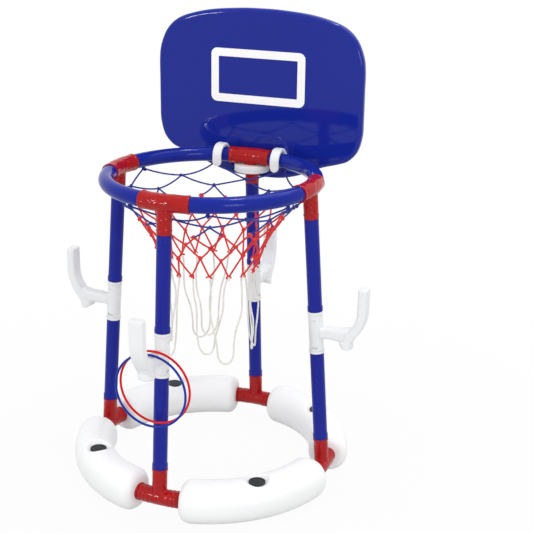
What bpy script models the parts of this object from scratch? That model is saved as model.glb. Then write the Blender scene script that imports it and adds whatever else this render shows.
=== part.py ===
"""A floating basketball hoop for a swimming pool.

Four hollow floats, joined by four ribbed tees, make a ring that lies on the water or the ground.
Four legs lean in from the tees to a smaller ring of tube, which carries a diamond net and a
backboard. A hooked coupler halfway up each leg stores the tossing rings, and two of them hang on
the front hook. Lengths are in metres. The front leg stands on -Y and the backboard on +Y.
"""
import math

import bmesh
import bpy
from mathutils import Matrix, Vector

# Layout of the two rings, and the clearances between the pieces
BASE_RING_RADIUS = 0.2175
RIM_RADIUS = 0.1815
FIT_GAP = 0.0003
SOCKET_CLEARANCE = 0.0004
CUT_OVERRUN = 0.002

# Stack of pieces along each leg, measured along its leaning axis
BASE_STEM_LENGTH = 0.053
LEG_TUBE_LENGTH = 0.1655
COUPLER_LENGTH = 0.0763
RIM_STEM_LENGTH = 0.052
LEG_SPIGOT_LENGTH = 0.018

# Leg tubes, which are all alike
TUBE_RADIUS = 0.0125
TUBE_BORE_RADIUS = 0.0105
TUBE_COLLAR_RADIUS = 0.0135
TUBE_COLLAR_LENGTH = 0.0085
TUBE_COLLAR_TAPER = 0.0012

# Floats
FLOAT_HALF_WIDTH = 0.036
FLOAT_HALF_HEIGHT = 0.037
FLOAT_WALL = 0.0025
FLOAT_END_ROUNDING = 0.018
FLOAT_END_SHARE = 0.57
FLOAT_CORNER_SHARE = 0.92
FLOAT_ROUNDING_SHARES = (0.0, 0.12, 0.42)
POCKET_TOP_RADIUS = 0.0225
POCKET_FLOOR_RADIUS = 0.0165
POCKET_DEPTH = 0.0094
PLUG_HEAD_RADIUS = 0.0145
PLUG_HEAD_HEIGHT = 0.0026
PLUG_HEAD_CHAMFER = 0.0006
PLUG_SHANK_RADIUS = 0.0085
PLUG_SHANK_LENGTH = 0.0070

# Base tees, whose runs push into the ends of the floats
BASE_TEE_HALF_RUN = 0.0399
BASE_TEE_RADIUS = 0.0145
BASE_TEE_RIDGE_HEIGHT = 0.0008
BASE_TEE_PLAIN_HALF = 0.0150
BASE_TEE_LIP_WIDTH = 0.0030
BASE_TEE_SPIGOT_RADIUS = 0.0115
BASE_TEE_SPIGOT_LENGTH = 0.0120
STEM_RADIUS = 0.0128
STEM_LIP_RADIUS = 0.0136
STEM_LIP_WIDTH = 0.0020

# Hooked couplers
COUPLER_RADIUS = 0.0127
COUPLER_LIP_RADIUS = 0.0137
COUPLER_LIP_WIDTH = 0.0040
HOOK_ARM_RADIUS = 0.0110
HOOK_REACH = 0.084
HOOK_RISE = 0.0906
HOOK_STRAP_WIDTH = 0.026
HOOK_STRAP_THICKNESS = 0.016
HOOK_STRAP_CORNER_SHARE = 0.60
HOOK_TIP_ROUNDING = 0.003
HOOK_TIP_SHARE = 0.78
HOOK_ARM_END_SHARE = 0.74
HOOK_STUB_BORE_RADIUS = 0.0050
HOOK_STUB_BORE_DEPTH = 0.0110
HOOK_PATH_SHARES = (
    (0.665, -0.239),
    (0.692, -0.100),
    (0.765, 0.030),
    (0.857, 0.139),
    (0.945, 0.300),
    (0.992, 0.460),
    (1.000, 0.640),
)

# Rim tees and rim arcs
RIM_TEE_HALF_RUN = 0.0428
RIM_TEE_RADIUS = 0.0150
RIM_TEE_BEAD_RADIUS = 0.0156
RIM_TEE_BEAD_WIDTH = 0.0030
RIM_TUBE_RADIUS = 0.0135
RIM_TUBE_BORE_RADIUS = 0.0108
RIM_NECK_RADIUS = 0.0124
RIM_NECK_LENGTH = 0.0200
RIM_STEM_RING_HEIGHT = 0.0060

# Net hooks moulded under the rim arcs
NET_HOOK_WIDTH = 0.0030
NET_HOOK_TROUGH = 0.0062
NET_HOOK_WALL = 0.0016
NET_HOOK_DROP = 0.0073
NET_HOOK_LIP_HEIGHT = 0.0020
NET_HOOK_ROOT = 0.0040

# Backboard
BOARD_BEHIND_RIM = 0.0255
BOARD_THICKNESS = 0.020
BOARD_HALF_WIDTH = 0.2045
BOARD_HEIGHT = 0.3145
BOARD_BOTTOM_BELOW_RIM = 0.0465
BOARD_EDGE_RADIUS = 0.0075
BOARD_WALL = 0.0025
BOARD_OUTLINE_SHARES = (
    (0.000, 0.000),
    (0.250, 0.006),
    (0.475, 0.047),
    (0.625, 0.092),
    (0.790, 0.124),
    (0.880, 0.150),
    (0.957, 0.208),
    (0.996, 0.300),
    (1.000, 0.400),
    (1.000, 0.560),
    (1.000, 0.670),
    (0.983, 0.755),
    (0.924, 0.845),
    (0.830, 0.908),
    (0.700, 0.947),
    (0.480, 0.980),
    (0.200, 0.997),
    (0.000, 1.000),
)
BOSS_HALF_WIDTH = 0.0655
BOSS_SLOPE = 0.0040
BOSS_HEIGHT = 0.0030
BOSS_BOTTOM_BELOW_RIM = 0.0320
BOSS_TOP_ABOVE_RIM = 0.0340
BOSS_CORNER_RADIUS = 0.0240
BOSS_ROOT = 0.0010
SOLID_HALF_WIDTH = 0.0740
SOLID_TOP_ABOVE_RIM = 0.0200
VENT_RADIUS = 0.0030
VENT_ABOVE_RIM = 0.0600

# White target frame on the backboard
TARGET_HALF_WIDTH = 0.0935
TARGET_LINE_WIDTH = 0.0150
TARGET_BOTTOM_ABOVE_RIM = 0.0930
TARGET_HEIGHT = 0.1000
TARGET_CORNER_RADIUS = 0.0120
TARGET_THICKNESS = 0.0008

# Rim clips and the collar that hold the backboard to the rim
CLIP_OFFSET = 0.0575
CLIP_WIDTH = 0.0175
CLIP_THICKNESS = 0.0060
CLIP_TIP_DROP = 0.0190
CLIP_FOOT_THICKNESS = 0.0070
CLIP_FOOT_DROP = 0.0120
CLIP_ARCH_STEPS = 4
COLLAR_RADIUS = 0.0325
COLLAR_HEIGHT = 0.0128
COLLAR_EDGE = 0.0015
SCREW_SHANK_RADIUS = 0.0018
SCREW_HEAD_RADIUS = 0.0045
SCREW_HEAD_HEIGHT = 0.0024
SCREW_BITE = 0.0046
SCREW_HOLE_CLEARANCE = 0.0004
COLLAR_SCREW_OFFSET = 0.0220

# Net
NET_CORD_RADIUS = 0.0013
NET_KNOT_REACH = 0.0045
NET_COLUMNS = 8
NET_BACK_DROP = 0.0060
NET_BACK_INSET = 0.0050
NET_TOP_DROP = 0.0167
NET_TOP_OUTSET = 0.0014
NET_BOTTOM_DROP = 0.1580
NET_ROW_DROP_SHARES = (0.000, 0.115, 0.236, 0.363, 0.533, 0.731, 1.000)
NET_ROW_RADIUS_SHARES = (1.000, 0.871, 0.793, 0.705, 0.601, 0.529, 0.430)
NET_RED_ROW = 3
NET_RED_SPLIT = 2
TASSEL_LENGTH = 0.160
TASSEL_LENGTH_SWING_SHARE = 0.045
TASSEL_START_RISE = 0.0070
TASSEL_STAGGER = 0.0045
TASSEL_COLUMNS = 2
TASSEL_SIDE_SHARES = (0.97, 0.46)
TASSEL_DROP_SHARES = (0.075, 0.860)
TASSEL_STAGGER_SHARES = (0, 1)

# Tossing rings on the front hook
TOSS_RING_RADIUS = 0.0625
TOSS_RING_SECTION_RADIUS = 0.0020
TOSS_RING_LEG_GAP = 0.00464
TOSS_RING_SPACING = 0.0160

# Numbers of facets and steps
TUBE_SIDES = 12
FLOAT_SIDES = 14
FLOAT_STEPS = 5
CAVITY_SIDES = 10
CAVITY_STEPS = 3
PLUG_SIDES = 12
STRAP_SIDES = 10
RIM_ARC_STEPS = 7
RIM_TEE_STEPS = 3
BASE_TEE_RIDGES = 3
TARGET_CORNER_STEPS = 3
BOSS_CORNER_STEPS = 3
SCREW_SIDES = 8
COLLAR_SIDES = 24
TOSS_RING_SIDES = 24
TOSS_RING_SECTION_SIDES = 6

LEGS = {"front": -math.pi / 2, "right": 0.0, "back": math.pi / 2, "left": math.pi}
FLOATS = {
    "front_right": -math.pi / 4,
    "back_right": math.pi / 4,
    "back_left": 3 * math.pi / 4,
    "front_left": -3 * math.pi / 4,
}

# Heights and angles that follow from the sizes above
QUARTER_TURN = math.pi / 2
UP = Vector((0, 0, 1))
LEG_LENGTH = BASE_STEM_LENGTH + 2 * LEG_TUBE_LENGTH + COUPLER_LENGTH + RIM_STEM_LENGTH
LEG_LEAN = math.asin((BASE_RING_RADIUS - RIM_RADIUS) / LEG_LENGTH)
RIM_HEIGHT = FLOAT_HALF_HEIGHT + LEG_LENGTH * math.cos(LEG_LEAN)
LOWER_TUBE_START = BASE_STEM_LENGTH
COUPLER_START = LOWER_TUBE_START + LEG_TUBE_LENGTH
UPPER_TUBE_START = COUPLER_START + COUPLER_LENGTH
RIM_STEM_START = UPPER_TUBE_START + LEG_TUBE_LENGTH
COUPLER_MIDDLE = COUPLER_START + COUPLER_LENGTH / 2
LEG_SPIGOT_RADIUS = TUBE_BORE_RADIUS - FIT_GAP
BOARD_FRONT = RIM_RADIUS + BOARD_BEHIND_RIM
BOSS_FRONT = BOARD_FRONT - BOSS_HEIGHT
BOARD_BACK = BOARD_FRONT + BOARD_THICKNESS
BOARD_SEAT = BOSS_FRONT - FIT_GAP
SCREW_TIP = BOARD_SEAT - SCREW_BITE
COLLAR_TOP = RIM_HEIGHT - RIM_TEE_RADIUS - FIT_GAP
CLIP_SCREW_HEIGHT = RIM_HEIGHT
COLLAR_SCREW_HEIGHT = COLLAR_TOP - COLLAR_HEIGHT / 2

TOSS_RING_LEAN_ROOM = math.tan(LEG_LEAN) * 2 * TOSS_RING_RADIUS
TOSS_RING_CLEAR = TUBE_RADIUS + TOSS_RING_SECTION_RADIUS + TOSS_RING_LEG_GAP
TOSS_RING_RED_REACH = TOSS_RING_CLEAR + TOSS_RING_LEAN_ROOM
TOSS_RING_BLUE_REACH = TOSS_RING_RED_REACH + TOSS_RING_SPACING


def plastic(name, colour, roughness):
    """Material of one plastic, with its colour and roughness."""
    material = bpy.data.materials.new(name)
    material.use_nodes = True
    shader = material.node_tree.nodes["Principled BSDF"]
    shader.inputs["Base Color"].default_value = (*colour, 1)
    shader.inputs["Roughness"].default_value = roughness
    shader.inputs["Metallic"].default_value = 0
    material.diffuse_color = (*colour, 1)
    return material


def steel(name, colour, roughness):
    """Material of one bare metal."""
    material = plastic(name, colour, roughness)
    material.node_tree.nodes["Principled BSDF"].inputs["Metallic"].default_value = 1
    return material


def leg_frame(station=0.0):
    """Frame on the axis of the leg that leans in from +X: X outwards, Y sideways, Z up the leg."""
    start = Matrix.Translation((BASE_RING_RADIUS, 0, FLOAT_HALF_HEIGHT))
    lean = Matrix.Rotation(-LEG_LEAN, 4, "Y")
    return start @ lean @ Matrix.Translation((0, 0, station))


def coupler_frame():
    """Upright frame at the middle of the coupler of the leg on +X, with X outwards."""
    return Matrix.Translation(leg_frame(COUPLER_MIDDLE).translation)


def ring_frame(angle, radius, height):
    """Frame of a section across a ring: X outwards, Y up and Z along the ring."""
    outward = Vector((math.cos(angle), math.sin(angle), 0))
    frame = Matrix((outward, UP, outward.cross(UP))).transposed().to_4x4()
    frame.translation = outward * radius + UP * height
    return frame


def circle(frame, radius, sides):
    """Points of a circle in the XY plane of a frame."""
    points = []
    for k in range(sides):
        angle = 2 * math.pi * k / sides
        points.append(frame @ Vector((radius * math.cos(angle), radius * math.sin(angle), 0)))
    return points


def skin(name, rings, closed=False):
    """Mesh of a solid whose surface runs through rings of points, with caps unless it is closed."""
    shape = bmesh.new()
    rows = [[shape.verts.new(point) for point in ring] for ring in rings]
    pairs = list(zip(rows, rows[1:]))
    if closed:
        pairs.append((rows[-1], rows[0]))
    else:
        shape.faces.new(rows[0])
        shape.faces.new(rows[-1])
    for low, high in pairs:
        for k in range(len(low)):
            after = (k + 1) % len(low)
            shape.faces.new((low[k], low[after], high[after], high[k]))
    bmesh.ops.recalc_face_normals(shape, faces=shape.faces)
    mesh = bpy.data.meshes.new(name)
    shape.to_mesh(mesh)
    shape.free()
    return mesh


def turned(name, profile, sides, frame=Matrix(), closed=False):
    """Mesh of a profile of (radius, height) points turned about the Z axis of a frame."""
    rings = []
    for radius, height in profile:
        rings.append(circle(frame @ Matrix.Translation((0, 0, height)), radius, sides))
    return skin(name, rings, closed)


def bent(name, profile, ring_radius, height, sides, closed=False):
    """Mesh of a profile of (angle, radius) points laid along a ring about the Z axis."""
    rings = [circle(ring_frame(angle, ring_radius, height), radius, sides) for angle, radius in profile]
    return skin(name, rings, closed)


def rod(name, start, end, radius, sides):
    """Mesh of a straight cylinder from one point to another."""
    run = end - start
    frame = Matrix.Translation(start) @ run.to_track_quat("Z", "Y").to_matrix().to_4x4()
    return turned(name, [(radius, 0), (radius, run.length)], sides, frame)


def box(name, low, high):
    """Mesh of a box between two corners."""
    floor = [(low[0], low[1]), (high[0], low[1]), (high[0], high[1]), (low[0], high[1])]
    rings = [[Vector((x, y, z)) for x, y in floor] for z in (low[2], high[2])]
    return skin(name, rings)


def carved(name, body, joined=(), cut=()):
    """Mesh of a body after other meshes are joined to it and then cut from it."""
    part = bpy.data.objects.new(name, body)
    bpy.context.collection.objects.link(part)
    guides = []
    for operation, meshes in (("UNION", joined), ("DIFFERENCE", cut)):
        for mesh in meshes:
            guide = bpy.data.objects.new(name + "_guide", mesh)
            guide.hide_render = True
            guide.display_type = "WIRE"
            bpy.context.collection.objects.link(guide)
            step = part.modifiers.new(operation.title(), "BOOLEAN")
            step.operation = operation
            step.solver = "EXACT"
            step.object = guide
            guides.append(guide)
    seen = part.evaluated_get(bpy.context.evaluated_depsgraph_get())
    mesh = bpy.data.meshes.new_from_object(seen)
    mesh.name = name
    for thing in [part] + guides:
        bpy.data.objects.remove(thing)
    return mesh


def place(name, mesh, material, frame=Matrix(), parent=None):
    """Add a named piece to the scene, at a frame and under an optional parent."""
    if not mesh.materials:
        mesh.materials.append(material)
        mesh.shade_smooth()
        mesh.set_sharp_from_angle(angle=math.radians(40))
    piece = bpy.data.objects.new(name, mesh)
    bpy.context.collection.objects.link(piece)
    if parent is not None:
        piece.parent = parent
        piece.matrix_parent_inverse = parent.matrix_basis.inverted()
    piece.matrix_basis = frame
    return piece


def joint_empty(name, position):
    """Empty that marks a joint's place, as the parent of what moves there."""
    empty = bpy.data.objects.new(name, None)
    empty.empty_display_size = TUBE_RADIUS
    empty.matrix_basis = Matrix.Translation(position)
    bpy.context.collection.objects.link(empty)
    return empty


def float_rings(half_width, half_height, end_share, half_length, steps, sides):
    """Sections of a float centred on +X, rounded in towards both ends."""
    rounding = FLOAT_END_ROUNDING
    spread = [half_length - rounding * share for share in FLOAT_ROUNDING_SHARES]
    scales = []
    for share in FLOAT_ROUNDING_SHARES:
        scales.append(end_share + (1 - end_share) * math.sqrt(1 - (1 - share) ** 2))
    middle = half_length - rounding
    stations = [(-place_along, scale) for place_along, scale in zip(spread, scales)]
    stations += [(middle * (2 * k / steps - 1), 1) for k in range(steps + 1)]
    stations += [(place_along, scale) for place_along, scale in zip(reversed(spread), reversed(scales))]
    flat_reach = math.cos(math.pi / sides) ** FLOAT_CORNER_SHARE
    rings = []
    for along, scale in stations:
        frame = ring_frame(along / BASE_RING_RADIUS, BASE_RING_RADIUS, FLOAT_HALF_HEIGHT)
        ring = []
        for k in range(sides):
            angle = 2 * math.pi * k / sides
            across = math.copysign(abs(math.cos(angle)) ** FLOAT_CORNER_SHARE, math.cos(angle))
            rise = math.copysign(abs(math.sin(angle)) ** FLOAT_CORNER_SHARE, math.sin(angle))
            rise /= flat_reach
            ring.append(frame @ Vector((half_width * scale * across, half_height * scale * rise, 0)))
        rings.append(ring)
    return rings


def float_mesh():
    """Hollow float on +X, with a pocket and hole for its plug and a socket in each end."""
    half_length = math.pi / 4 * BASE_RING_RADIUS - BASE_TEE_HALF_RUN - FIT_GAP
    outer = skin("float", float_rings(FLOAT_HALF_WIDTH, FLOAT_HALF_HEIGHT, FLOAT_END_SHARE,
                                      half_length, FLOAT_STEPS, FLOAT_SIDES))
    inner_width = FLOAT_HALF_WIDTH - FLOAT_WALL
    inner_height = FLOAT_HALF_HEIGHT - FLOAT_WALL
    inner_end = (FLOAT_HALF_WIDTH * FLOAT_END_SHARE - FLOAT_WALL) / inner_width
    hollow = skin("hollow", float_rings(inner_width, inner_height, inner_end,
                                        half_length - FLOAT_WALL, CAVITY_STEPS, CAVITY_SIDES))
    top = 2 * FLOAT_HALF_HEIGHT
    floor = top - POCKET_DEPTH
    seat = Matrix.Translation((BASE_RING_RADIUS, 0, 0))
    slope = (POCKET_TOP_RADIUS - POCKET_FLOOR_RADIUS) / POCKET_DEPTH
    mouth_radius = POCKET_TOP_RADIUS + slope * CUT_OVERRUN
    boss = turned("pocket_wall", [(POCKET_FLOOR_RADIUS + FLOAT_WALL, floor - FLOAT_WALL),
                                  (mouth_radius + FLOAT_WALL, top + CUT_OVERRUN)], PLUG_SIDES, seat)
    hollow = carved("hollow", hollow, cut=[boss])
    pocket = turned("pocket", [(POCKET_FLOOR_RADIUS, floor), (mouth_radius, top + CUT_OVERRUN)],
                    PLUG_SIDES, seat)
    hole = turned("plug_hole", [(PLUG_SHANK_RADIUS + SOCKET_CLEARANCE, floor - 2 * FLOAT_WALL),
                                (PLUG_SHANK_RADIUS + SOCKET_CLEARANCE, floor + CUT_OVERRUN)],
                  PLUG_SIDES, seat)
    sockets = []
    for side in (-1, 1):
        far = side * (half_length + CUT_OVERRUN) / BASE_RING_RADIUS
        near = side * (half_length - BASE_TEE_SPIGOT_LENGTH - CUT_OVERRUN) / BASE_RING_RADIUS
        radius = BASE_TEE_SPIGOT_RADIUS + SOCKET_CLEARANCE
        sockets.append(bent("socket", [(near, radius), (far, radius)], BASE_RING_RADIUS,
                            FLOAT_HALF_HEIGHT, TUBE_SIDES))
    return carved("float", outer, cut=[hollow, pocket, hole] + sockets)


def plug_mesh():
    """Plug with its head's underside at height zero."""
    profile = [
        (PLUG_SHANK_RADIUS - PLUG_HEAD_CHAMFER, -PLUG_SHANK_LENGTH),
        (PLUG_SHANK_RADIUS, PLUG_HEAD_CHAMFER - PLUG_SHANK_LENGTH),
        (PLUG_SHANK_RADIUS, 0),
        (PLUG_HEAD_RADIUS, 0),
        (PLUG_HEAD_RADIUS, PLUG_HEAD_HEIGHT - PLUG_HEAD_CHAMFER),
        (PLUG_HEAD_RADIUS - PLUG_HEAD_CHAMFER, PLUG_HEAD_HEIGHT),
    ]
    return turned("float_plug", profile, PLUG_SIDES)


def base_tee_mesh():
    """Ribbed tee on +X: a run along the base ring and a stem that leans in up the leg."""
    ridged = BASE_TEE_HALF_RUN - BASE_TEE_LIP_WIDTH - BASE_TEE_PLAIN_HALF
    half = [(BASE_TEE_PLAIN_HALF, BASE_TEE_RADIUS)]
    for k in range(BASE_TEE_RIDGES):
        pitch = ridged / BASE_TEE_RIDGES
        crest = BASE_TEE_PLAIN_HALF + pitch * (k + 1 / 2)
        half.append((crest, BASE_TEE_RADIUS + BASE_TEE_RIDGE_HEIGHT))
        half.append((crest + pitch / 2, BASE_TEE_RADIUS))
    half += [
        (BASE_TEE_HALF_RUN, BASE_TEE_RADIUS + BASE_TEE_RIDGE_HEIGHT),
        (BASE_TEE_HALF_RUN, BASE_TEE_SPIGOT_RADIUS),
        (BASE_TEE_HALF_RUN + BASE_TEE_SPIGOT_LENGTH, BASE_TEE_SPIGOT_RADIUS),
    ]
    profile = [(-along / BASE_RING_RADIUS, radius) for along, radius in reversed(half)]
    profile += [(along / BASE_RING_RADIUS, radius) for along, radius in half]
    run = bent("run", profile, BASE_RING_RADIUS, FLOAT_HALF_HEIGHT, TUBE_SIDES)
    end = BASE_STEM_LENGTH
    stem = turned("stem", [
        (STEM_RADIUS, 0),
        (STEM_RADIUS, end - 2 * STEM_LIP_WIDTH),
        (STEM_LIP_RADIUS, end - STEM_LIP_WIDTH),
        (STEM_LIP_RADIUS, end),
        (LEG_SPIGOT_RADIUS, end),
        (LEG_SPIGOT_RADIUS, end + LEG_SPIGOT_LENGTH),
    ], TUBE_SIDES, leg_frame())
    return carved("base_tee", run, joined=[stem])


def leg_tube_mesh():
    """Hollow tube with a collar at its lower end, standing at the origin."""
    bottom = FIT_GAP
    top = LEG_TUBE_LENGTH - FIT_GAP
    profile = [
        (TUBE_BORE_RADIUS, bottom),
        (TUBE_COLLAR_RADIUS - TUBE_COLLAR_TAPER / 2, bottom),
        (TUBE_COLLAR_RADIUS, bottom + TUBE_COLLAR_TAPER),
        (TUBE_COLLAR_RADIUS, bottom + TUBE_COLLAR_LENGTH),
        (TUBE_RADIUS, bottom + TUBE_COLLAR_LENGTH + TUBE_COLLAR_TAPER),
        (TUBE_RADIUS, top),
        (TUBE_BORE_RADIUS, top),
    ]
    return turned("leg_tube", profile, TUBE_SIDES, closed=True)


def strap_section(frame, share):
    """Rounded section of the hook's strap, in the XY plane of a frame."""
    points = []
    for k in range(STRAP_SIDES):
        angle = 2 * math.pi * (k + 1 / 2) / STRAP_SIDES
        across = math.copysign(abs(math.cos(angle)) ** HOOK_STRAP_CORNER_SHARE, math.cos(angle))
        deep = math.copysign(abs(math.sin(angle)) ** HOOK_STRAP_CORNER_SHARE, math.sin(angle))
        points.append(frame @ Vector((HOOK_STRAP_THICKNESS / 2 * share * across,
                                      HOOK_STRAP_WIDTH / 2 * share * deep, 0)))
    return points


def strap_mesh(seat):
    """Cane-shaped strap of a hook, from its stub below the arm to its tip."""
    points = [Vector((u * HOOK_REACH, 0, v * HOOK_RISE)) for u, v in HOOK_PATH_SHARES]
    tip = Vector((HOOK_REACH, 0, HOOK_RISE))
    points.append(tip - UP * HOOK_TIP_ROUNDING)
    rings = []
    for k, point in enumerate(points):
        before = points[max(k - 1, 0)]
        after = points[min(k + 1, len(points) - 1)]
        along = (after - before).normalized()
        side = Vector((0, 1, 0))
        frame = Matrix((side.cross(along), side, along)).transposed().to_4x4()
        frame.translation = point
        rings.append(strap_section(seat @ frame, 1))
    rings.append(strap_section(seat @ Matrix.Translation(tip), HOOK_TIP_SHARE))
    return skin("strap", rings)


def coupler_mesh():
    """Hooked coupler of the leg on +X, which plugs into the tubes above and below it."""
    low = COUPLER_START
    high = UPPER_TUBE_START
    sleeve = turned("sleeve", [
        (LEG_SPIGOT_RADIUS, low - LEG_SPIGOT_LENGTH),
        (LEG_SPIGOT_RADIUS, low),
        (COUPLER_LIP_RADIUS, low),
        (COUPLER_LIP_RADIUS, low + COUPLER_LIP_WIDTH),
        (COUPLER_RADIUS, low + COUPLER_LIP_WIDTH),
        (COUPLER_RADIUS, high - COUPLER_LIP_WIDTH),
        (COUPLER_LIP_RADIUS, high - COUPLER_LIP_WIDTH),
        (COUPLER_LIP_RADIUS, high),
        (LEG_SPIGOT_RADIUS, high),
        (LEG_SPIGOT_RADIUS, high + LEG_SPIGOT_LENGTH),
    ], TUBE_SIDES, leg_frame())
    seat = coupler_frame()
    arm_end = Vector((HOOK_REACH * HOOK_ARM_END_SHARE, 0, 0))
    arm = rod("arm", seat @ Vector(), seat @ arm_end, HOOK_ARM_RADIUS, TUBE_SIDES)
    stub_u, stub_v = HOOK_PATH_SHARES[0]
    stub_end = seat @ Vector((stub_u * HOOK_REACH, 0, stub_v * HOOK_RISE))
    bore = rod("stub_bore", stub_end - UP * CUT_OVERRUN, stub_end + UP * HOOK_STUB_BORE_DEPTH,
               HOOK_STUB_BORE_RADIUS, SCREW_SIDES)
    return carved("hook_coupler", sleeve, joined=[arm, strap_mesh(seat)], cut=[bore])


def rim_tee_mesh():
    """Tee on +X: a run along the rim, with a socket in each end, and a stem down the leg."""
    bead = RIM_TEE_HALF_RUN - RIM_TEE_BEAD_WIDTH
    stations = [(RIM_TEE_HALF_RUN, RIM_TEE_BEAD_RADIUS), (bead, RIM_TEE_BEAD_RADIUS)]
    plain = bead - RIM_TEE_BEAD_WIDTH / 2
    stations += [(plain * (1 - 2 * k / RIM_TEE_STEPS), RIM_TEE_RADIUS) for k in range(RIM_TEE_STEPS + 1)]
    stations += [(-bead, RIM_TEE_BEAD_RADIUS), (-RIM_TEE_HALF_RUN, RIM_TEE_BEAD_RADIUS)]
    profile = [(along / RIM_RADIUS, radius) for along, radius in stations]
    run = bent("run", profile, RIM_RADIUS, RIM_HEIGHT, TUBE_SIDES)
    low = RIM_STEM_START
    ring = low + RIM_STEM_RING_HEIGHT
    stem = turned("stem", [
        (LEG_SPIGOT_RADIUS, low - LEG_SPIGOT_LENGTH),
        (LEG_SPIGOT_RADIUS, low),
        (STEM_RADIUS, low),
        (STEM_RADIUS, ring),
        (STEM_LIP_RADIUS, ring + STEM_LIP_WIDTH / 4),
        (STEM_LIP_RADIUS, ring + STEM_LIP_WIDTH * 3 / 4),
        (STEM_RADIUS, ring + STEM_LIP_WIDTH),
        (STEM_RADIUS, LEG_LENGTH),
    ], TUBE_SIDES, leg_frame())
    sockets = []
    for side in (-1, 1):
        near = side * (RIM_TEE_HALF_RUN - RIM_NECK_LENGTH - FIT_GAP) / RIM_RADIUS
        far = side * (RIM_TEE_HALF_RUN + CUT_OVERRUN) / RIM_RADIUS
        middle = (near + far) / 2
        radius = RIM_NECK_RADIUS + SOCKET_CLEARANCE
        sockets.append(bent("socket", [(near, radius), (middle, radius), (far, radius)], RIM_RADIUS,
                            RIM_HEIGHT, TUBE_SIDES))
    return carved("rim_tee", run, joined=[stem], cut=sockets)


def net_hook_mesh(angle):
    """Small J-shaped hook under the rim, with its trough on the rim's centreline."""
    frame = ring_frame(angle, RIM_RADIUS, RIM_HEIGHT - RIM_TUBE_RADIUS)
    inner = NET_HOOK_TROUGH / 2
    outer = inner + NET_HOOK_WALL
    floor = -NET_HOOK_DROP + NET_HOOK_WALL
    profile = [
        (outer, NET_HOOK_ROOT),
        (outer, -NET_HOOK_DROP),
        (-outer, -NET_HOOK_DROP),
        (-outer, floor + NET_HOOK_LIP_HEIGHT),
        (-inner, floor + NET_HOOK_LIP_HEIGHT),
        (-inner, floor),
        (inner, floor),
        (inner, NET_HOOK_ROOT),
    ]
    rings = []
    for side in (-1, 1):
        rings.append([frame @ Vector((x, y, side * NET_HOOK_WIDTH / 2)) for x, y in profile])
    return skin("net_hook", rings)


def rim_arc_mesh():
    """Hollow quarter of the rim, centred on +X, with necks for the tees and two net hooks."""
    half_span = math.pi / 4 * RIM_RADIUS
    shoulder = half_span - RIM_TEE_HALF_RUN - FIT_GAP
    end = shoulder + FIT_GAP + RIM_NECK_LENGTH
    outside = [(-end, RIM_NECK_RADIUS), (-shoulder, RIM_NECK_RADIUS)]
    for k in range(RIM_ARC_STEPS + 1):
        outside.append((shoulder * (2 * k / RIM_ARC_STEPS - 1), RIM_TUBE_RADIUS))
    outside += [(shoulder, RIM_NECK_RADIUS), (end, RIM_NECK_RADIUS)]
    inside = []
    for k in range(RIM_ARC_STEPS + 1):
        inside.append((end * (1 - 2 * k / RIM_ARC_STEPS), RIM_TUBE_BORE_RADIUS))
    profile = [(along / RIM_RADIUS, radius) for along, radius in outside + inside]
    tube = bent("tube", profile, RIM_RADIUS, RIM_HEIGHT, TUBE_SIDES, closed=True)
    spacing = 2 * math.pi / NET_COLUMNS
    hooks = [net_hook_mesh(side * spacing / 2) for side in (-1, 1)]
    bore = bent("bore", [(along / RIM_RADIUS, radius) for along, radius in inside], RIM_RADIUS,
                RIM_HEIGHT, TUBE_SIDES)
    return carved("rim_arc", tube, joined=hooks, cut=[bore])


def board_outline(inset, stride=1):
    """Outline of the backboard as (x, z) points, moved inwards by an inset."""
    bottom = RIM_HEIGHT - BOARD_BOTTOM_BELOW_RIM
    half = [Vector((x * BOARD_HALF_WIDTH, bottom + z * BOARD_HEIGHT)) for x, z in BOARD_OUTLINE_SHARES]
    other = [Vector((-point.x, point.y)) for point in reversed(half[1:-1])]
    corners = (half + other)[::stride]
    outline = []
    for k, point in enumerate(corners):
        along = corners[(k + 1) % len(corners)] - corners[k - 1]
        inward = Vector((-along.y, along.x)).normalized()
        outline.append(point + inward * inset)
    return outline


def slab(name, layers, stride=1):
    """Mesh that follows the backboard's outline through layers of (inset, depth)."""
    rings = []
    for inset, depth in layers:
        rings.append([Vector((x, depth, z)) for x, z in board_outline(inset, stride)])
    return skin(name, rings)


def rounded_rectangle(half_width, bottom, top, radius, steps):
    """Points (x, z) of a rectangle with rounded corners, counterclockwise."""
    points = []
    corners = [(1, bottom + radius), (1, top - radius), (-1, top - radius), (-1, bottom + radius)]
    for k, (side, height) in enumerate(corners):
        centre = side * (half_width - radius)
        for step in range(steps + 1):
            angle = QUARTER_TURN * (k - 1 + step / steps)
            points.append((centre + radius * math.cos(angle), height + radius * math.sin(angle)))
    return points


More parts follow.
